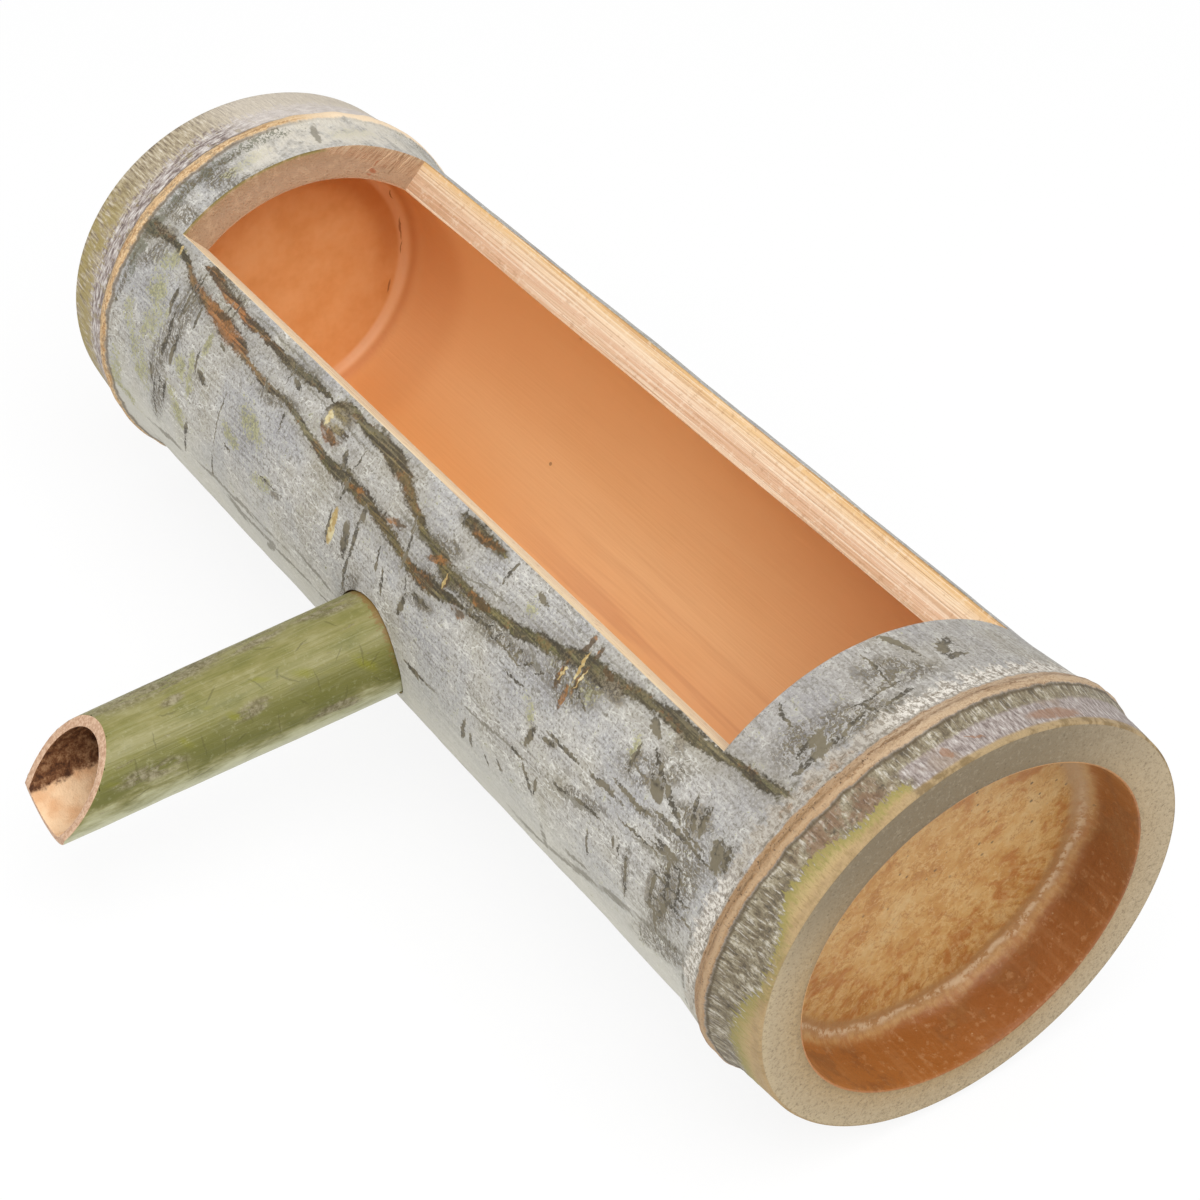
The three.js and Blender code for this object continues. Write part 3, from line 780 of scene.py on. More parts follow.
# The front node and the stub in front of it
edge_at = at_mm.shifted(patchy, 1.5)
feather = bark_mm.grain((3.4, 0.55, 1), 3, 0.65)
fuzz = bark_mm.grain((1.3, 0.8, 1), 3, 0.75)
towards_spout = arc_mm.shifted(patchy, 9).fade(16, 20)
tuft = bark_mm.grain((4.2, 2.4, 1), 4, 0.72, (3, 7, 0))
flake = bark_mm.grain((0.9, 2.6, 1), 3, 0.7)
ragged_at = edge_at.shifted(tuft, 9)
flaked = ragged_at.band(16.6, 20.4, 0.6)
wax = (edge_at.fade(16.9, 17.5) * ragged_at.fade(21.2, 19.8)
       * most(arc_mm.fade(18, 8), arc_mm.band(47, 70, 4), arc_mm.fade(90, 100)))
dark_lines = (most(edge_at.band(20.6, 21.1, 0.25), edge_at.band(17.0, 17.5, 0.25) * 0.8)
              * arc_mm.fade(-8, 30, 1, 0.3) * tuft.fade(0.48, 0.56) * fleck.fade(0.38, 0.5))
coat = coat.painted(
    (flaked * 0.62, fuzz.between(0.42, 0.56, (140, 128, 110), (190, 181, 166))),
    (wax * fuzz.fade(0.43, 0.56) * fleck.fade(0.36, 0.5) * 0.9, (228, 222, 212)),
    (flaked * flake.fade(0.45, 0.38) * patchy.fade(0.42, 0.54) * 0.6, (104, 90, 70)),
    (dark_lines * 0.8, (92, 84, 66)))
front_fuzz = tuft.ramp(
    (0.34, 84, 76, 62), (0.45, 120, 108, 86), (0.55, 146, 136, 112),
    (0.66, 196, 188, 172)).painted(
    (feather.fade(0.54, 0.66, 0.7), (198, 192, 180)),
    (feather.fade(0.46, 0.36, 0.6), (86, 74, 58)),
    (arc_mm.band(21, 37, 3) * patchy.fade(0.42, 0.54) * 0.6, (128, 96, 72)),
    (fleck.fade(0.46, 0.34, 0.5), (66, 58, 46)))
brown_spots = loose_mm.strokes([(4, -17, 5.4, -7, 5.5), (4, 10, 9, 10.5, 1.8),
                                (4.6, 3, 8.6, 6, 0.8)]).fade(0.03, 0.4)
stub_grey = feather.ramp(
    (0.32, 112, 99, 92), (0.45, 144, 132, 126), (0.57, 172, 162, 156),
    (0.7, 206, 200, 194)).painted(
    (blotch.fade(0.5, 0.6, 0.5), (150, 130, 108)),
    (brown_spots * 0.7, (146, 108, 80)))
grey_stub = (1 - towards_spout) * edge_at.shifted(feather, 3).fade(10.6, 9.6)
green_reaches = ((-20, 0), (16, 0), (20, 6), (27, 5), (33, 8), (40, 8.5), (45, 6), (50, 2.8),
                 (55, 2), (60, 4), (65, 6), (72, 7.6), (80, 6.4), (90, 7))
green_reach = ((arc_mm + 20) / 110).curve(
    [((arc + 20) / 110, reach_mm / 10) for arc, reach_mm in green_reaches])
green_edge = (edge_at - green_reach * 10).shifted(feather, 11)
green = at_mm.between(1.6, 5, (180, 152, 110), (178, 156, 108)).painted(
    (feather.fade(0.5, 0.36, 0.5), (150, 128, 80)),
    (green_edge.fade(-4.5, -0.6) * 0.8, (140, 132, 70)))
sawn_brown = patchy.between(0.42, 0.58, (134, 112, 76), (170, 146, 108))
ring_lines = loose_mm.grain((0.4, 16, 1), 2, 0.65)
front_ring = ring_lines.ramp(
    (0.34, 122, 94, 66), (0.46, 164, 136, 106), (0.58, 190, 166, 138),
    (0.7, 170, 142, 112)).painted(
    (arc_mm.fade(8, 34, 0.6), (160, 122, 78)),
    (fleck.fade(0.42, 0.32) * arc_mm.fade(5, 20) * 0.9, (76, 56, 42)),
    (edge_at.band(15.2, 15.6, 0.3) * patchy.fade(0.4, 0.5) * 0.6, (110, 84, 54)),
    (edge_at.band(13.7, 14.7, 0.3) * 0.4, (196, 170, 136)))
coat = coat.painted(
    (edge_at.fade(13.4, 13.0), front_fuzz),
    (grey_stub, stub_grey),
    (towards_spout * green_edge.fade(0.6, -0.6), green),
    (edge_at.fade(2.8, 1.6) * arc_mm.fade(24, 16, 1, 0.35), sawn_brown),
    (edge_at.band(13.4, 16.9, 0.25), front_ring),
    (edge_at.band(12.8, 13.4, 0.25) * 0.8, (84, 70, 48)))

# The rear node and the stub behind it
rear_grey = flake.ramp(
    (0.34, 106, 92, 86), (0.46, 150, 136, 130), (0.54, 192, 182, 176),
    (0.66, 226, 220, 214)).painted(
    (tuft.fade(0.54, 0.62) * 0.6, (138, 122, 74)),
    (arc_mm.fade(14, 2, 0.7), (220, 211, 203)))
rear_feather = feather.ramp(
    (0.32, 108, 94, 78), (0.44, 152, 137, 113), (0.55, 184, 170, 142),
    (0.68, 216, 206, 188)).painted(
    (arc_mm.fade(26, 46, 0.7) * tuft.fade(0.42, 0.54), (158, 140, 72)),
    (arc_mm.fade(20, 0, 0.7), (214, 204, 190)))
rear_ring = ring_lines.ramp(
    (0.34, 172, 134, 90), (0.48, 204, 170, 126), (0.62, 222, 192, 150)).painted(
    (arc_mm.fade(0, -16), (240, 216, 184)),
    (fleck.fade(0.48, 0.36) * arc_mm.fade(0, 14) * 0.6, (146, 102, 60)),
    (flake.fade(0.48, 0.4) * arc_mm.fade(0, 14) * 0.6, (138, 122, 98)))
ring_edges = most(edge_at.band(235.9, 236.4, 0.25), edge_at.band(232.9, 233.5, 0.25))
coat = coat.painted(
    (edge_at.fade(235.6, 236.2), rear_grey),
    (edge_at.shifted(feather, 12).fade(241, 244), rear_feather),
    (edge_at.band(233.5, 235.9, 0.3), rear_ring),
    (ring_edges * arc_mm.fade(-12, 12, 0.75, 0.15), (104, 88, 66)))
stub_ridges = abs(at_mm - 125).fade(107, 112) * feather * 0.8
coat.done(fibre * 0.4 + fleck * 0.5 + patchy * 0.5 + stub_ridges, 0.0004)

# The sawn ends: end grain, with the dark dots of its fibre bundles set closer outwards
end_grain = start_finish(trough, "sawn_end_grain", 0.8, 0.25)
depth = end_grain.attribute("wall_depth")
_, side_way, height_up = end_grain.split()
bundles = end_grain.cells(0.0006)
pores = end_grain.cells(0.0013)
dust = end_grain.grain(0.0009, 3, 0.75)
cut_wood = depth.ramp(
    (0.0, 200, 170, 128), (0.05, 154, 130, 94), (0.2, 170, 146, 110), (0.5, 174, 154, 122),
    (0.75, 176, 158, 128), (0.93, 184, 166, 134), (0.985, 152, 126, 88), (1.0, 112, 92, 60))
shade_up = height_up.fade(0.05, 0.088, 0.9) + side_way.fade(0.05, -0.01, 0.15)
shade_up = shade_up.shifted(dust, 0.5)
cut_wood = cut_wood.painted(
    (shade_up.fade(0.1, 1.1, 0.9), (114, 102, 82)),
    (side_way.fade(0.035, 0.07, 0.5), (178, 160, 132)),
    (bundles.fade(0.4, 0.12, 0.4), (118, 100, 74)),
    (pores.fade(0.22, 0.1, 0.4), (86, 72, 52)),
    (dust.fade(0.52, 0.68, 0.18), (206, 190, 162)),
    (dust.fade(0.48, 0.34, 0.45), (120, 104, 80)))
cut_wood.done(bundles * 0.5 + dust, 0.0002)

# The hollows in the ends: brown walls with painted shade, darker low down and lighter higher up, a
# pale band where wall and septum meet, with a painted highlight along its lower part, and a golden
# septum with pale fibres towards its edge and a few dark specks
cup = start_finish(trough, "hollow_skin", 0.5, 0.4)
cup_reach = cup.attribute("reach")
_, cup_y, cup_z = cup.split()
low = cup_z - culm_middle.z
far = cup_y - culm_middle.y
mottle = cup.grain(0.0083, 4, 0.65)
fine_mottle = cup.grain(0.0017, 3, 0.7)
dusting = cup.cells(0.0022)
wall_turn = low.math("ARCTAN2", far)
cup_fibre = cup.grain((0.017, 0.0014, 0.0014), 2, 0.6)
# The brown of the hollows' walls, with painted shade by the turn round the hollow: darker low down,
# lighter higher up
wall_brown_painted_shade = (wall_turn * 0.16 + 0.5).ramp(
    (0.0, 176, 116, 58), (0.24, 152, 92, 38), (0.34, 142, 84, 36), (0.46, 142, 88, 44),
    (0.56, 160, 102, 48), (0.66, 180, 128, 66), (0.8, 190, 140, 82)).painted(
    (cup_fibre.fade(0.5, 0.72, 0.14), (196, 150, 104)),
    (mottle.fade(0.5, 0.38, 0.55), (122, 72, 34)),
    (fine_mottle.fade(0.55, 0.68, 0.28), (200, 158, 114)),
    (dusting.fade(0.11, 0.05) * mottle.fade(0.46, 0.56) * 0.3, (214, 186, 146)))
spokes = cup.put("ShaderNodeCombineXYZ", {0: wall_turn * 22, 1: cup_reach * 9})
spoke = spokes.grain(1, 2, 0.6)
gold = mottle.ramp(
    (0.34, 174, 122, 62), (0.44, 186, 138, 74), (0.55, 194, 150, 88),
    (0.66, 199, 162, 106)).painted(
    (fine_mottle.fade(0.46, 0.34, 0.4), (164, 108, 52)),
    (fine_mottle.fade(0.54, 0.68, 0.35), (206, 174, 126)))
cup_net = cup.shaken(0.003, 0.0008).grain(0.0036, 3, 0.65)
pimples = cup.shaken(0.004, 0.0012).cells(0.0032)
pimpled = pimples.fade(0.42, 0.62) * mottle.fade(0.54, 0.44) * cup_reach.fade(0.2, 0.6)
gold = gold.painted(
    (abs(cup_net - 0.5).fade(0.024, 0.005, 0.5), (212, 176, 122)),
    (abs(cup_net - 0.42).fade(0.02, 0.004, 0.5), (152, 98, 42)),
    (pimpled * 0.6, (166, 100, 40)))
lower_edge = cup_reach.fade(0.45, 0.8) * low.fade(0.004, -0.012)
speck = cup.cells(0.0026).fade(0.17, 0.09) * low.fade(-0.014, 0.006) * fine_mottle.fade(0.44, 0.5)
gold = gold.painted(
    (spoke.fade(0.5, 0.6) * lower_edge * 0.35, (206, 170, 118)),
    (spoke.fade(0.48, 0.38) * lower_edge * 0.35, (162, 102, 44)),
    (low.fade(0.006, 0.028, 0.3), (170, 130, 84)),
    (speck * 0.8, (92, 78, 52)))
lip = cup_reach.shifted(mottle, 0.08)
pale_band = lip.band(0.885, 0.975, 0.03) * mottle.fade(0.3, 0.46, 0.85, 0.5)
# A painted highlight: a thin pale line along the lower part of the pale band
painted_highlight_line = (lip.band(0.93, 0.955, 0.012) * fine_mottle.fade(0.42, 0.55)
              * low.fade(0.014, -0.006) * 0.55)
cup_shade = gold.painted(
    (lip.fade(0.97, 0.995), wall_brown_painted_shade),
    (pale_band, low.between(-0.012, 0.004, (160, 118, 74), (182, 148, 108))),
    (painted_highlight_line, (220, 196, 162)))
cup_shade.done(mottle * 1.2 + fine_mottle * 0.35, 0.0004)

# The chamber: bare peach-coloured bamboo, smooth, with faint streaks along the grain, and painted
# light and shade
basin = start_finish(trough, "bare_chamber", 0.55, 0.3)
basin_reach = basin.attribute("reach")
basin_x, basin_y, basin_z = basin.split()
stain = basin.grain((0.14, 0.017, 0.017), 3, 0.6)
cloud = basin.grain(0.02, 2, 0.5)
hair = basin.grain((0.017, 0.00077, 0.00077), 2, 0.6)
peach = stain.ramp((0.34, 236, 180, 122), (0.48, 243, 190, 134), (0.62, 246, 198, 144)).painted(
    (cloud.fade(0.42, 0.64, 0.4), (248, 198, 146)),
    (hair.fade(0.52, 0.72, 0.3), (232, 176, 124)),
    # Painted light and shade: darker and more orange towards the rear and front ends, which lie
    # under the culm's roof, and lighter on the near side of the floor and towards the far wall
    (basin_x.fade(0.0, -0.1, 0.85), (241, 179, 112)),
    (basin_y.fade(0.047, 0.063, 0.6), (255, 214, 158)),
    (basin_x.fade(-0.02, 0.09, 0.55), (226, 163, 110)),
    (basin_y.fade(0.024, 0.01, 0.35), (250, 206, 158)))
long_streaks = basin.grain((0.1, 0.0048, 0.0048), 3, 0.6, (0.02, 0, 0))
brown_zone = (basin_x.band(-0.03, 0.085, 0.03) * basin_y.band(0.028, 0.056, 0.01)
              * long_streaks.fade(0.46, 0.58))
disc_shade = basin.grain(0.009, 3, 0.65).ramp(
    (0.34, 234, 172, 108), (0.5, 240, 182, 120), (0.66, 244, 190, 130))
# Painted shade: the upper edge of each septum, under the wall, and the corner where the rear septum
# meets the wall are darker
upper_septum_painted_shade = basin_reach.band(0.74, 0.9, 0.07) * basin_z.fade(0.036, 0.052)
round_edge = basin_reach.band(0.88, 0.945, 0.018) * cloud.fade(0.4, 0.6, 0.9, 0.45)
peach = peach.painted(
    (brown_zone * 0.6, (216, 156, 112)),
    (basin.cells(0.017).fade(0.03, 0.02, 0.6), (128, 88, 56)),
    (basin_reach.fade(0.9, 0.86), disc_shade),
    (upper_septum_painted_shade * 0.5, (206, 132, 70)),
    (basin_reach.band(0.945, 0.99, 0.03) * basin_x.fade(-0.09, -0.1) * 0.75, (208, 136, 78)),
    (round_edge, (250, 208, 168)))
across_chamber = basin.put("ShaderNodeCombineXYZ", {0: basin_y, 1: basin_z})
cracks = [(0.0644, 0.0539, 0.0649, 0.0466, 0.0006), (0.065, 0.047, 0.0646, 0.0432, 0.0004),
          (0.0619, 0.0376, 0.0609, 0.034, 0.0008), (0.0616, 0.0621, 0.0627, 0.0588, 0.0004)]
crack = across_chamber.shaken(0.0016, 0.0004).strokes(cracks)
crack = crack.fade(0.05, 0.5) * basin_x.fade(-0.106, -0.109) * 0.75
peach = peach.painted((crack, (166, 106, 66)))
peach.done(hair * 0.5 + cloud, 0.0002)

# The split and sawn sides of the window: straight pale fibres along the split sides, and
# end grain across the sawn ends
rim = start_finish(trough, "split_wood", 0.68, 0.3)
rim_depth = rim.attribute("wall_depth")
facing_ends = rim.put("ShaderNodeNewGeometry", {}, "Normal").split()[0]
rim_lines = rim.grain((0.05, 0.00042, 0.00042), 2, 0.65)
rim_coarse = rim.grain((0.09, 0.0016, 0.0016), 2, 0.6)
rim_dust = rim.grain(0.002, 3, 0.7)
_, rim_side, rim_up = rim.split()
straw = rim_depth.ramp(
    (0.0, 236, 204, 170), (0.1, 214, 174, 140), (0.36, 218, 180, 148), (0.6, 236, 208, 176),
    (0.82, 230, 196, 150), (0.95, 222, 180, 122), (0.985, 176, 140, 90),
    (1.0, 128, 112, 76)).painted(
    (rim_coarse.fade(0.5, 0.38, 0.4), (240, 216, 186)),
    (rim_side.fade(0.03, 0.02, 0.7), (255, 234, 196)),
    (rim_lines.fade(0.52, 0.62, 0.5), (188, 142, 100)),
    (rim_lines.fade(0.47, 0.38, 0.5), (248, 230, 204)),
    (rim_dust.fade(0.54, 0.68, 0.35), (244, 226, 200)),
    (rim_dust.fade(0.42, 0.3, 0.4), (176, 132, 94)))
crescent = rim_depth.ramp(
    (0.0, 220, 184, 150), (0.06, 192, 160, 130), (0.5, 184, 154, 126), (0.88, 176, 144, 112),
    (0.94, 154, 136, 84), (1.0, 112, 104, 60))
torn_at = (rim_side + (rim_up - 0.0797) * 1.6).shifted(rim_dust, 0.003)
across_wall = rim.put("ShaderNodeCombineXYZ", {0: rim_side, 1: rim_up})
across_wall = across_wall.shaken(0.0012, 0.0004)
torn_lines = across_wall.grain((0.004, 0.00035, 1), 2, 0.6, turn=0.5)
torn_wood = torn_lines.ramp((0.36, 162, 122, 90), (0.48, 190, 154, 122), (0.6, 208, 178, 146))
# The torn corner: brown torn bits of wood, and painted shadows beside its splinters
torn_bits_and_shadows = [(0.0474, 0.0796, 0.0488, 0.0785, 0.0013), (0.05, 0.0812, 0.0484, 0.0801, 0.0007),
           (0.0536, 0.0786, 0.052, 0.077, 0.0006), (0.0562, 0.0812, 0.0549, 0.0792, 0.0007),
           (0.0478, 0.0782, 0.0466, 0.0788, 0.0006)]
splinters = [(0.0541, 0.0826, 0.049, 0.0803, 0.0005), (0.0583, 0.08, 0.0536, 0.077, 0.0004),
             (0.0556, 0.0818, 0.054, 0.079, 0.0003), (0.0484, 0.08, 0.0462, 0.0792, 0.0003)]
crescent = crescent.painted(
    (rim.cells(0.0009).fade(0.32, 0.12, 0.4), (142, 108, 78)),
    (rim_dust.fade(0.48, 0.66, 0.5), (208, 178, 146)),
    (torn_at.fade(0.0482, 0.0504, 0.85), torn_wood),
    (across_wall.strokes(torn_bits_and_shadows).fade(0.04, 0.6) * 0.7,
     rim_side.between(0.049, 0.051, (172, 98, 58), (146, 112, 78))),
    (across_wall.strokes(splinters).fade(0.06, 0.5) * 0.8, (232, 204, 168)))
rim_shade = straw.painted((abs(facing_ends).fade(0.5, 0.8), crescent))
rim_shade.done(rim_lines * 0.8 + rim_dust * 0.5, 0.0003)

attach(trough, "root")
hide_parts("trough_culm")

# The spout: a thin green bamboo cane, sawn square, then cut slanting so that its lower lip
# reaches out. It is pushed through the hole in the culm's side.
spout_mouth_radius, spout_root_wall, spout_mouth_wall = 0.0101, 0.0019, 0.0017
spout_inner_end, spout_length = 0.031, 0.1133
slant_reach, slant_share = 0.109, 0.95
CANE_SKIN, CANE_BORE, CANE_CUT = range(3)
cane_side = spout_out.cross(Vector((0, 0, 1))).normalized()
cane_turn = Matrix((cane_side, spout_out, cane_side.cross(spout_out))).transposed()


def cane_radius(out, depth):
    """The cane's radius at a place along it, where depth goes from 0 outside to 1 inside."""
    share = (out - spout_inner_end) / (spout_length - spout_inner_end)
    outer = spout_root_radius + (spout_mouth_radius - spout_root_radius) * share
    return outer - depth * (spout_root_wall + (spout_mouth_wall - spout_root_wall) * share)


cane = bmesh.new()
cane_outs = spread(spout_inner_end, spout_length, 78)
cane_line = ([(0, out, cane_radius(out, 0)) for out in reversed(cane_outs)]
             + [(0, spout_inner_end, cane_radius(spout_inner_end, 0.5))]
             + [(0, out, cane_radius(out, 1)) for out in cane_outs])
spin(cane, cane_line, (0, 1, 0), 72)
bmesh.ops.remove_doubles(cane, verts=cane.verts, dist=hairline)
slant_normal = Vector((0, 1, slant_share)).normalized()
bmesh.ops.bisect_plane(cane, geom=cane.verts[:] + cane.edges[:] + cane.faces[:], dist=0.000001,
                       plane_co=(0, slant_reach, 0), plane_no=slant_normal, clear_outer=True)
for face in cane.faces:
    middle = face.calc_center_median()
    outside = math.hypot(middle.x, middle.z) > cane_radius(middle.y, 0.5)
    face.material_index = CANE_SKIN if outside else CANE_BORE
    if middle.y < spout_inner_end + hairline:
        face.material_index = CANE_CUT
lips = open_edges(cane)
bridge(cane, lips, CANE_CUT)
soften(cane, lips, 0.00018)
unwrap(cane, "cane", lambda point: (point.y, math.atan2(-point.x, point.z)), spout_length)

# The cane is a little uneven where it is in the open
for vert in cane.verts:
    spot = Vector((vert.co.x / 0.006, vert.co.y / 0.014, vert.co.z / 0.006))
    free = max(0, min(1, (vert.co.y - 0.048) / 0.02))
    swell = 1 + (0.012 * noise.noise(spot) + 0.006 * noise.noise(spot * 3)) * free
    vert.co.x, vert.co.z = vert.co.x * swell, vert.co.z * swell
    vert.co = spout_start + cane_turn @ vert.co
spout = object_of(cane, "spout_tube_cane")
spout.data.set_sharp_from_angle(angle=math.radians(40))

green_skin = start_finish(spout, "green_cane_skin", 0.5, 0.3)
cane_mm = green_skin.unwrapped("cane", spout_length, 0.0104)
loose_cane = cane_mm.shaken(0.003, 0.5).shaken(0.0008, 0.25)
cane_at, cane_arc, _ = cane_mm.split()
cane_fibre = cane_mm.grain((17, 0.6, 1), 2, 0.6)
cane_cloud = cane_mm.grain((11, 4.5, 1), 4, 0.65)
cane_fleck = green_skin.grain(0.0011, 3, 0.7)
wavy_arc = cane_arc.shifted(cane_cloud, 14)
cane_shade = cane_cloud.ramp(
    (0.34, 112, 110, 54), (0.45, 126, 122, 66), (0.55, 136, 130, 78),
    (0.66, 150, 144, 98)).painted(
    (cane_fibre.fade(0.52, 0.68, 0.3), (158, 154, 112)),
    (cane_fibre.fade(0.46, 0.32, 0.3), (98, 98, 44)),
    # Lower down: a darker green band, partly the cane's own colour and partly painted shade on its
    # lower flank, and below it a pale edge, painted light reflected from the white floor
    (wavy_arc.band(10, 16.5, 2.2) * 0.66, (92, 92, 36)),
    (wavy_arc.fade(16, 22, 0.8), (200, 200, 164)))
bright_patches = [(64, 7, 60, 9, 2.6), (78, 9, 76, 11, 2.0), (88, 10, 86, 12, 2.4),
                  (52, 9, 49, 13, 3.4), (106, 7, 105, 9, 1.8), (100, 13, 104, 12, 1.6),
                  (72, 5, 68, 6.5, 1.8), (82, 6, 80, 7, 1.4)]
bright = loose_cane.strokes(bright_patches).fade(0, 0.8, 0.75) * cane_cloud.fade(0.38, 0.5, 1, 0.4)
weather = cane_mm.grain((7, 1.8, 1), 4, 0.72, (40, 4, 0))
weathered = [
    (70, -5, 102, -4, 11), (88, 13.5, 102, 13, 4.5), (50, 18, 64, 17, 3.6), (46, -2, 58, -4, 6),
    (77, 10.8, 70, 9.6, 3.6), (70, -28, 100, -24, 9), (55, 28, 90, 30, 8), (60, -4, 72, -3, 6),
    (84, 2, 88, 2.5, 2.6)]
grey = cane_mm.strokes(weathered).fade(0, 0.55) * weather.fade(0.4, 0.52)
grey = most(grey, weather.fade(0.62, 0.7, 0.6))
grey_shade = cane_fleck.ramp((0.36, 96, 86, 66), (0.47, 126, 116, 92), (0.6, 156, 146, 124))
cane_shade = cane_shade.painted(
    (bright, (124, 122, 34)),
    (grey * 0.72, grey_shade),
    (cane_fleck.fade(0.56, 0.68, 0.25), (168, 164, 126)))
cane_scratches = [
    (50, 7, 51, 12, 0.5), (53, 6, 56, 9, 0.4), (60, 8, 60.5, 13, 0.4), (66, 5, 67, 7, 0.7),
    (67, 6, 63, 9.5, 0.4), (72, 4, 70, 8, 0.4), (74, 9, 74.5, 13, 0.4), (80, 12, 81, 17, 0.4),
    (84, 10, 84.5, 15, 0.5), (88, 13, 88.5, 18, 0.4), (92, 6, 92.6, 10, 0.4),
    (97, 9, 97.5, 14, 0.5), (58, 2, 62, 4, 0.4), (47, 10, 50, 12, 0.4), (78, 3, 81, 6, 0.5),
    (101, 4, 104, 6, 0.5), (69, 12, 70, 18, 0.4), (55, 13, 57, 18, 0.4), (63, 14, 65, 12, 0.5),
    (76, 14, 79, 15, 0.5), (86, 5, 90, 4, 0.5), (82, 18, 90, 20, 0.5), (95, 16, 101, 17.5, 0.5),
    (71, 19, 78, 20.5, 0.4), (60, 17, 66, 18, 0.4), (90, 12, 96, 12.5, 0.6), (52, 3, 54, 0, 0.4),
    (50, 14, 47, 17, 0.4), (64, 1, 68, -1, 0.5)]
cane_scratch = loose_cane.strokes(cane_scratches).fade(0.04, 0.4)
root_tan = cane_at.shifted(cane_fleck, 6).fade(45.5, 44.4) * cane_arc.fade(18, 8) * 0.75
cane_shade = cane_shade.painted(
    (cane_scratch * 0.45, (84, 80, 38)),
    (root_tan, (134, 100, 54)))
cane_shade.done(cane_fibre + grey * cane_fleck, 0.00015, grey.fade(0, 1, 0.7, 0.38))

bore = start_finish(spout, "cane_bore", 0.75, 0.2)
from_top = abs(bore.unwrapped("cane", spout_length, 0.0085).split()[1])
pith = bore.grain(0.0014, 3, 0.7)
bore_cloud = bore.grain(0.005, 2, 0.6)
peach_pith = bore_cloud.ramp((0.35, 224, 176, 132), (0.6, 240, 204, 164))
brown_pith = pith.ramp((0.36, 74, 44, 26), (0.5, 112, 72, 44), (0.66, 156, 118, 84))
# The bore is dark brown round its upper part and peach below it
brown_top_edge = from_top.shifted(pith, 3.2)
bore_shade = peach_pith.painted((brown_top_edge.fade(19.8, 18.4), brown_pith))
bore_shade.done(pith, 0.0003)

cane_end = start_finish(spout, "cut_cane", 0.72, 0.25)
cane_end_depth = cane_end.grain(0.0006, 3, 0.7)
cane_end_lines = cane_end.grain((0.00056, 0.0033, 0.0011), 2, 0.6)
end_shade = cane_end_depth.ramp(
    (0.36, 176, 140, 112), (0.48, 196, 160, 132), (0.6, 210, 178, 150)).painted(
    (cane_end_lines.fade(0.52, 0.66, 0.5), (166, 124, 96)))
end_shade.done(cane_end_lines, 0.0002)
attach(spout, "root")
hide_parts("spout_tube")

# The bead of glue: clear amber adhesive, pressed round the spout's root inside the
# chamber and smoothed with a finger, so that it holds the spout and keeps the water in.
bead_rise, bead_width = 0.0011, 0.0030
bead_profile = [(0.05, 0.0), (0.35, 0.55), (0.7, 0.95), (0.95, 0.8), (1.0, 0.25), (0.9, -0.15),
                (0.5, -0.25), (0.1, -0.2)]
bead = bmesh.new()
bead_line = [(0, -rise * bead_rise, hole_radius + share * bead_width)
             for share, rise in bead_profile]
spin(bead, bead_line, (0, 1, 0), 96, closed=True)
bmesh.ops.remove_doubles(bead, verts=bead.verts, dist=hairline)

# Each point goes out along the spout until it stands its rise above the chamber's wall
for vert in bead.verts:
    rise = -vert.co.y
    lump = 1 + 0.06 * noise.noise(Vector((vert.co.x / 0.003, 4, vert.co.z / 0.003)))
    point = spout_start + cane_turn @ (Vector((vert.co.x, 0, vert.co.z)) * lump)
    at = culm_length / 2 - (point.x - culm_middle.x)
    up = point.z - culm_middle.z
    side = 0.030
    for _ in range(4):
        inside = grown(at, along(chamber_radii, at), math.atan2(side, up), straight) - culm_middle
        side = math.sqrt(max(0, math.hypot(inside.y, inside.z) ** 2 - up ** 2))
    share = (side - rise * (1 + 4 * (lump - 1)) + point.y - culm_middle.y) / -spout_out.y
    vert.co = point + spout_out * share
bmesh.ops.recalc_face_normals(bead, faces=bead.faces)
for face in bead.faces:
    face.smooth = True
glue_bead = object_of(bead, "spout_glue_bead_amber")
smoothing = glue_bead.modifiers.new("smoothing", "SUBSURF")
smoothing.levels = smoothing.render_levels = 1

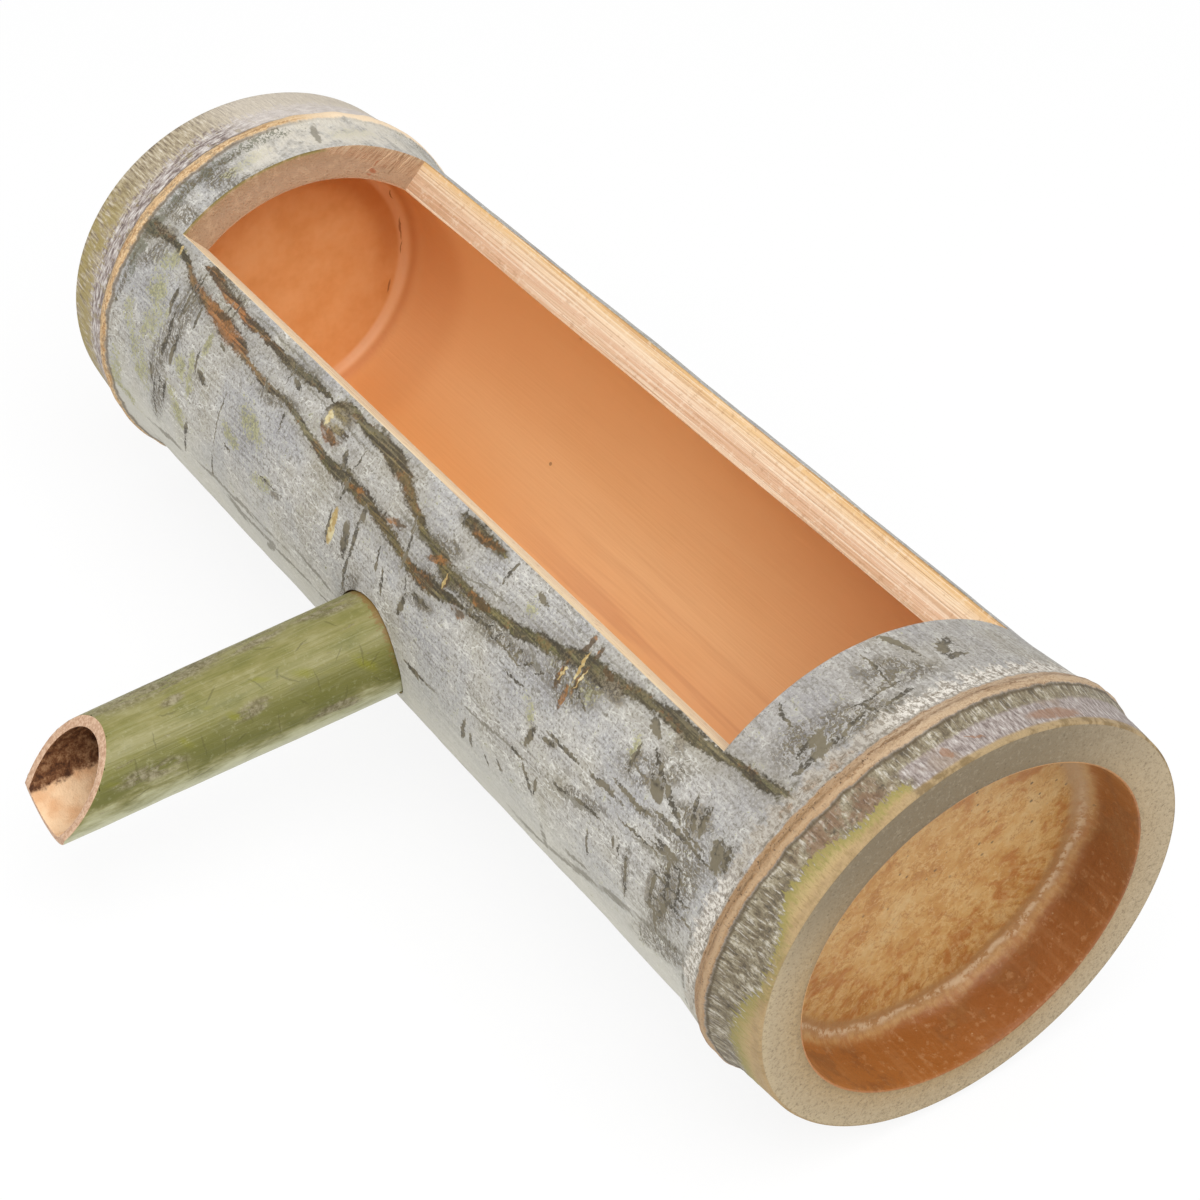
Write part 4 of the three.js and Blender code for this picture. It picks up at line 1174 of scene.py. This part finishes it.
amber = start_finish(glue_bead, "amber_glue", 0.22, 0.5, 0.3)
amber_cloud = amber.grain(0.0029, 2, 0.6)
amber_shade = amber_cloud.ramp((0.35, 176, 130, 74), (0.5, 206, 166, 108), (0.65, 224, 192, 142))
amber_shade.done(amber_cloud, 0.0002)
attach(glue_bead, "root")
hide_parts("spout_glue_bead")

# The studio: a white floor, which the camera sees almost without shade, and soft light
# from all round with a broad lamp above.
white = (1, 1, 1, 1)
ground = bmesh.new()
bmesh.ops.create_grid(ground, x_segments=1, y_segments=1, size=20)
floor = object_of(ground, "floor")


def show_white(tree, lit, light, share, output):
    """Mixes white light into what is seen, straight or through a gloss, by its share."""
    rays = ("Is Camera Ray", "Is Glossy Ray", "Is Transmission Ray")
    paths = (Value(tree).put("ShaderNodeLightPath", {}, ray) for ray in rays)
    shaders = {"Fac": most(*paths) * share, 1: Value(tree, tree.nodes[lit].outputs[0]),
               2: Value(tree).put(light, {"Color": white})}
    mixed = Value(tree).put("ShaderNodeMixShader", shaders)
    tree.links.new(mixed.socket, tree.nodes[output].inputs["Surface"])


paper = start_finish(floor, "white_paper", 1, 0).tree
paper.nodes["Principled BSDF"].inputs["Base Color"].default_value = (0.86, 0.86, 0.86, 1)
show_white(paper, "Principled BSDF", "ShaderNodeEmission", 0.87, "Material Output")

world = bpy.data.worlds.new("studio")
world.use_nodes = True
sky = world.node_tree.nodes["Background"]
sky.inputs["Color"].default_value = white
sky.inputs["Strength"].default_value = 0.72
show_white(world.node_tree, "Background", "ShaderNodeBackground", 1, "World Output")
bpy.context.scene.world = world
bpy.context.scene.view_settings.view_transform = "Standard"


def soft_lamp(name, place, size, power):
    """A broad lamp that looks at the culm's middle."""
    light = bpy.data.lights.new(name, "AREA")
    light.shape = "SQUARE"
    light.size = size
    light.energy = power
    towards = (culm_middle - Vector(place)).to_track_quat("-Z", "Y").to_matrix().to_4x4()
    linked(name, light).matrix_world = Matrix.Translation(place) @ towards


soft_lamp("lamp_above", (0.6, -0.1, 1.05), 0.9, 10)
soft_lamp("lamp_camera_left", (0.1, -1.0, 0.7), 0.8, 3)
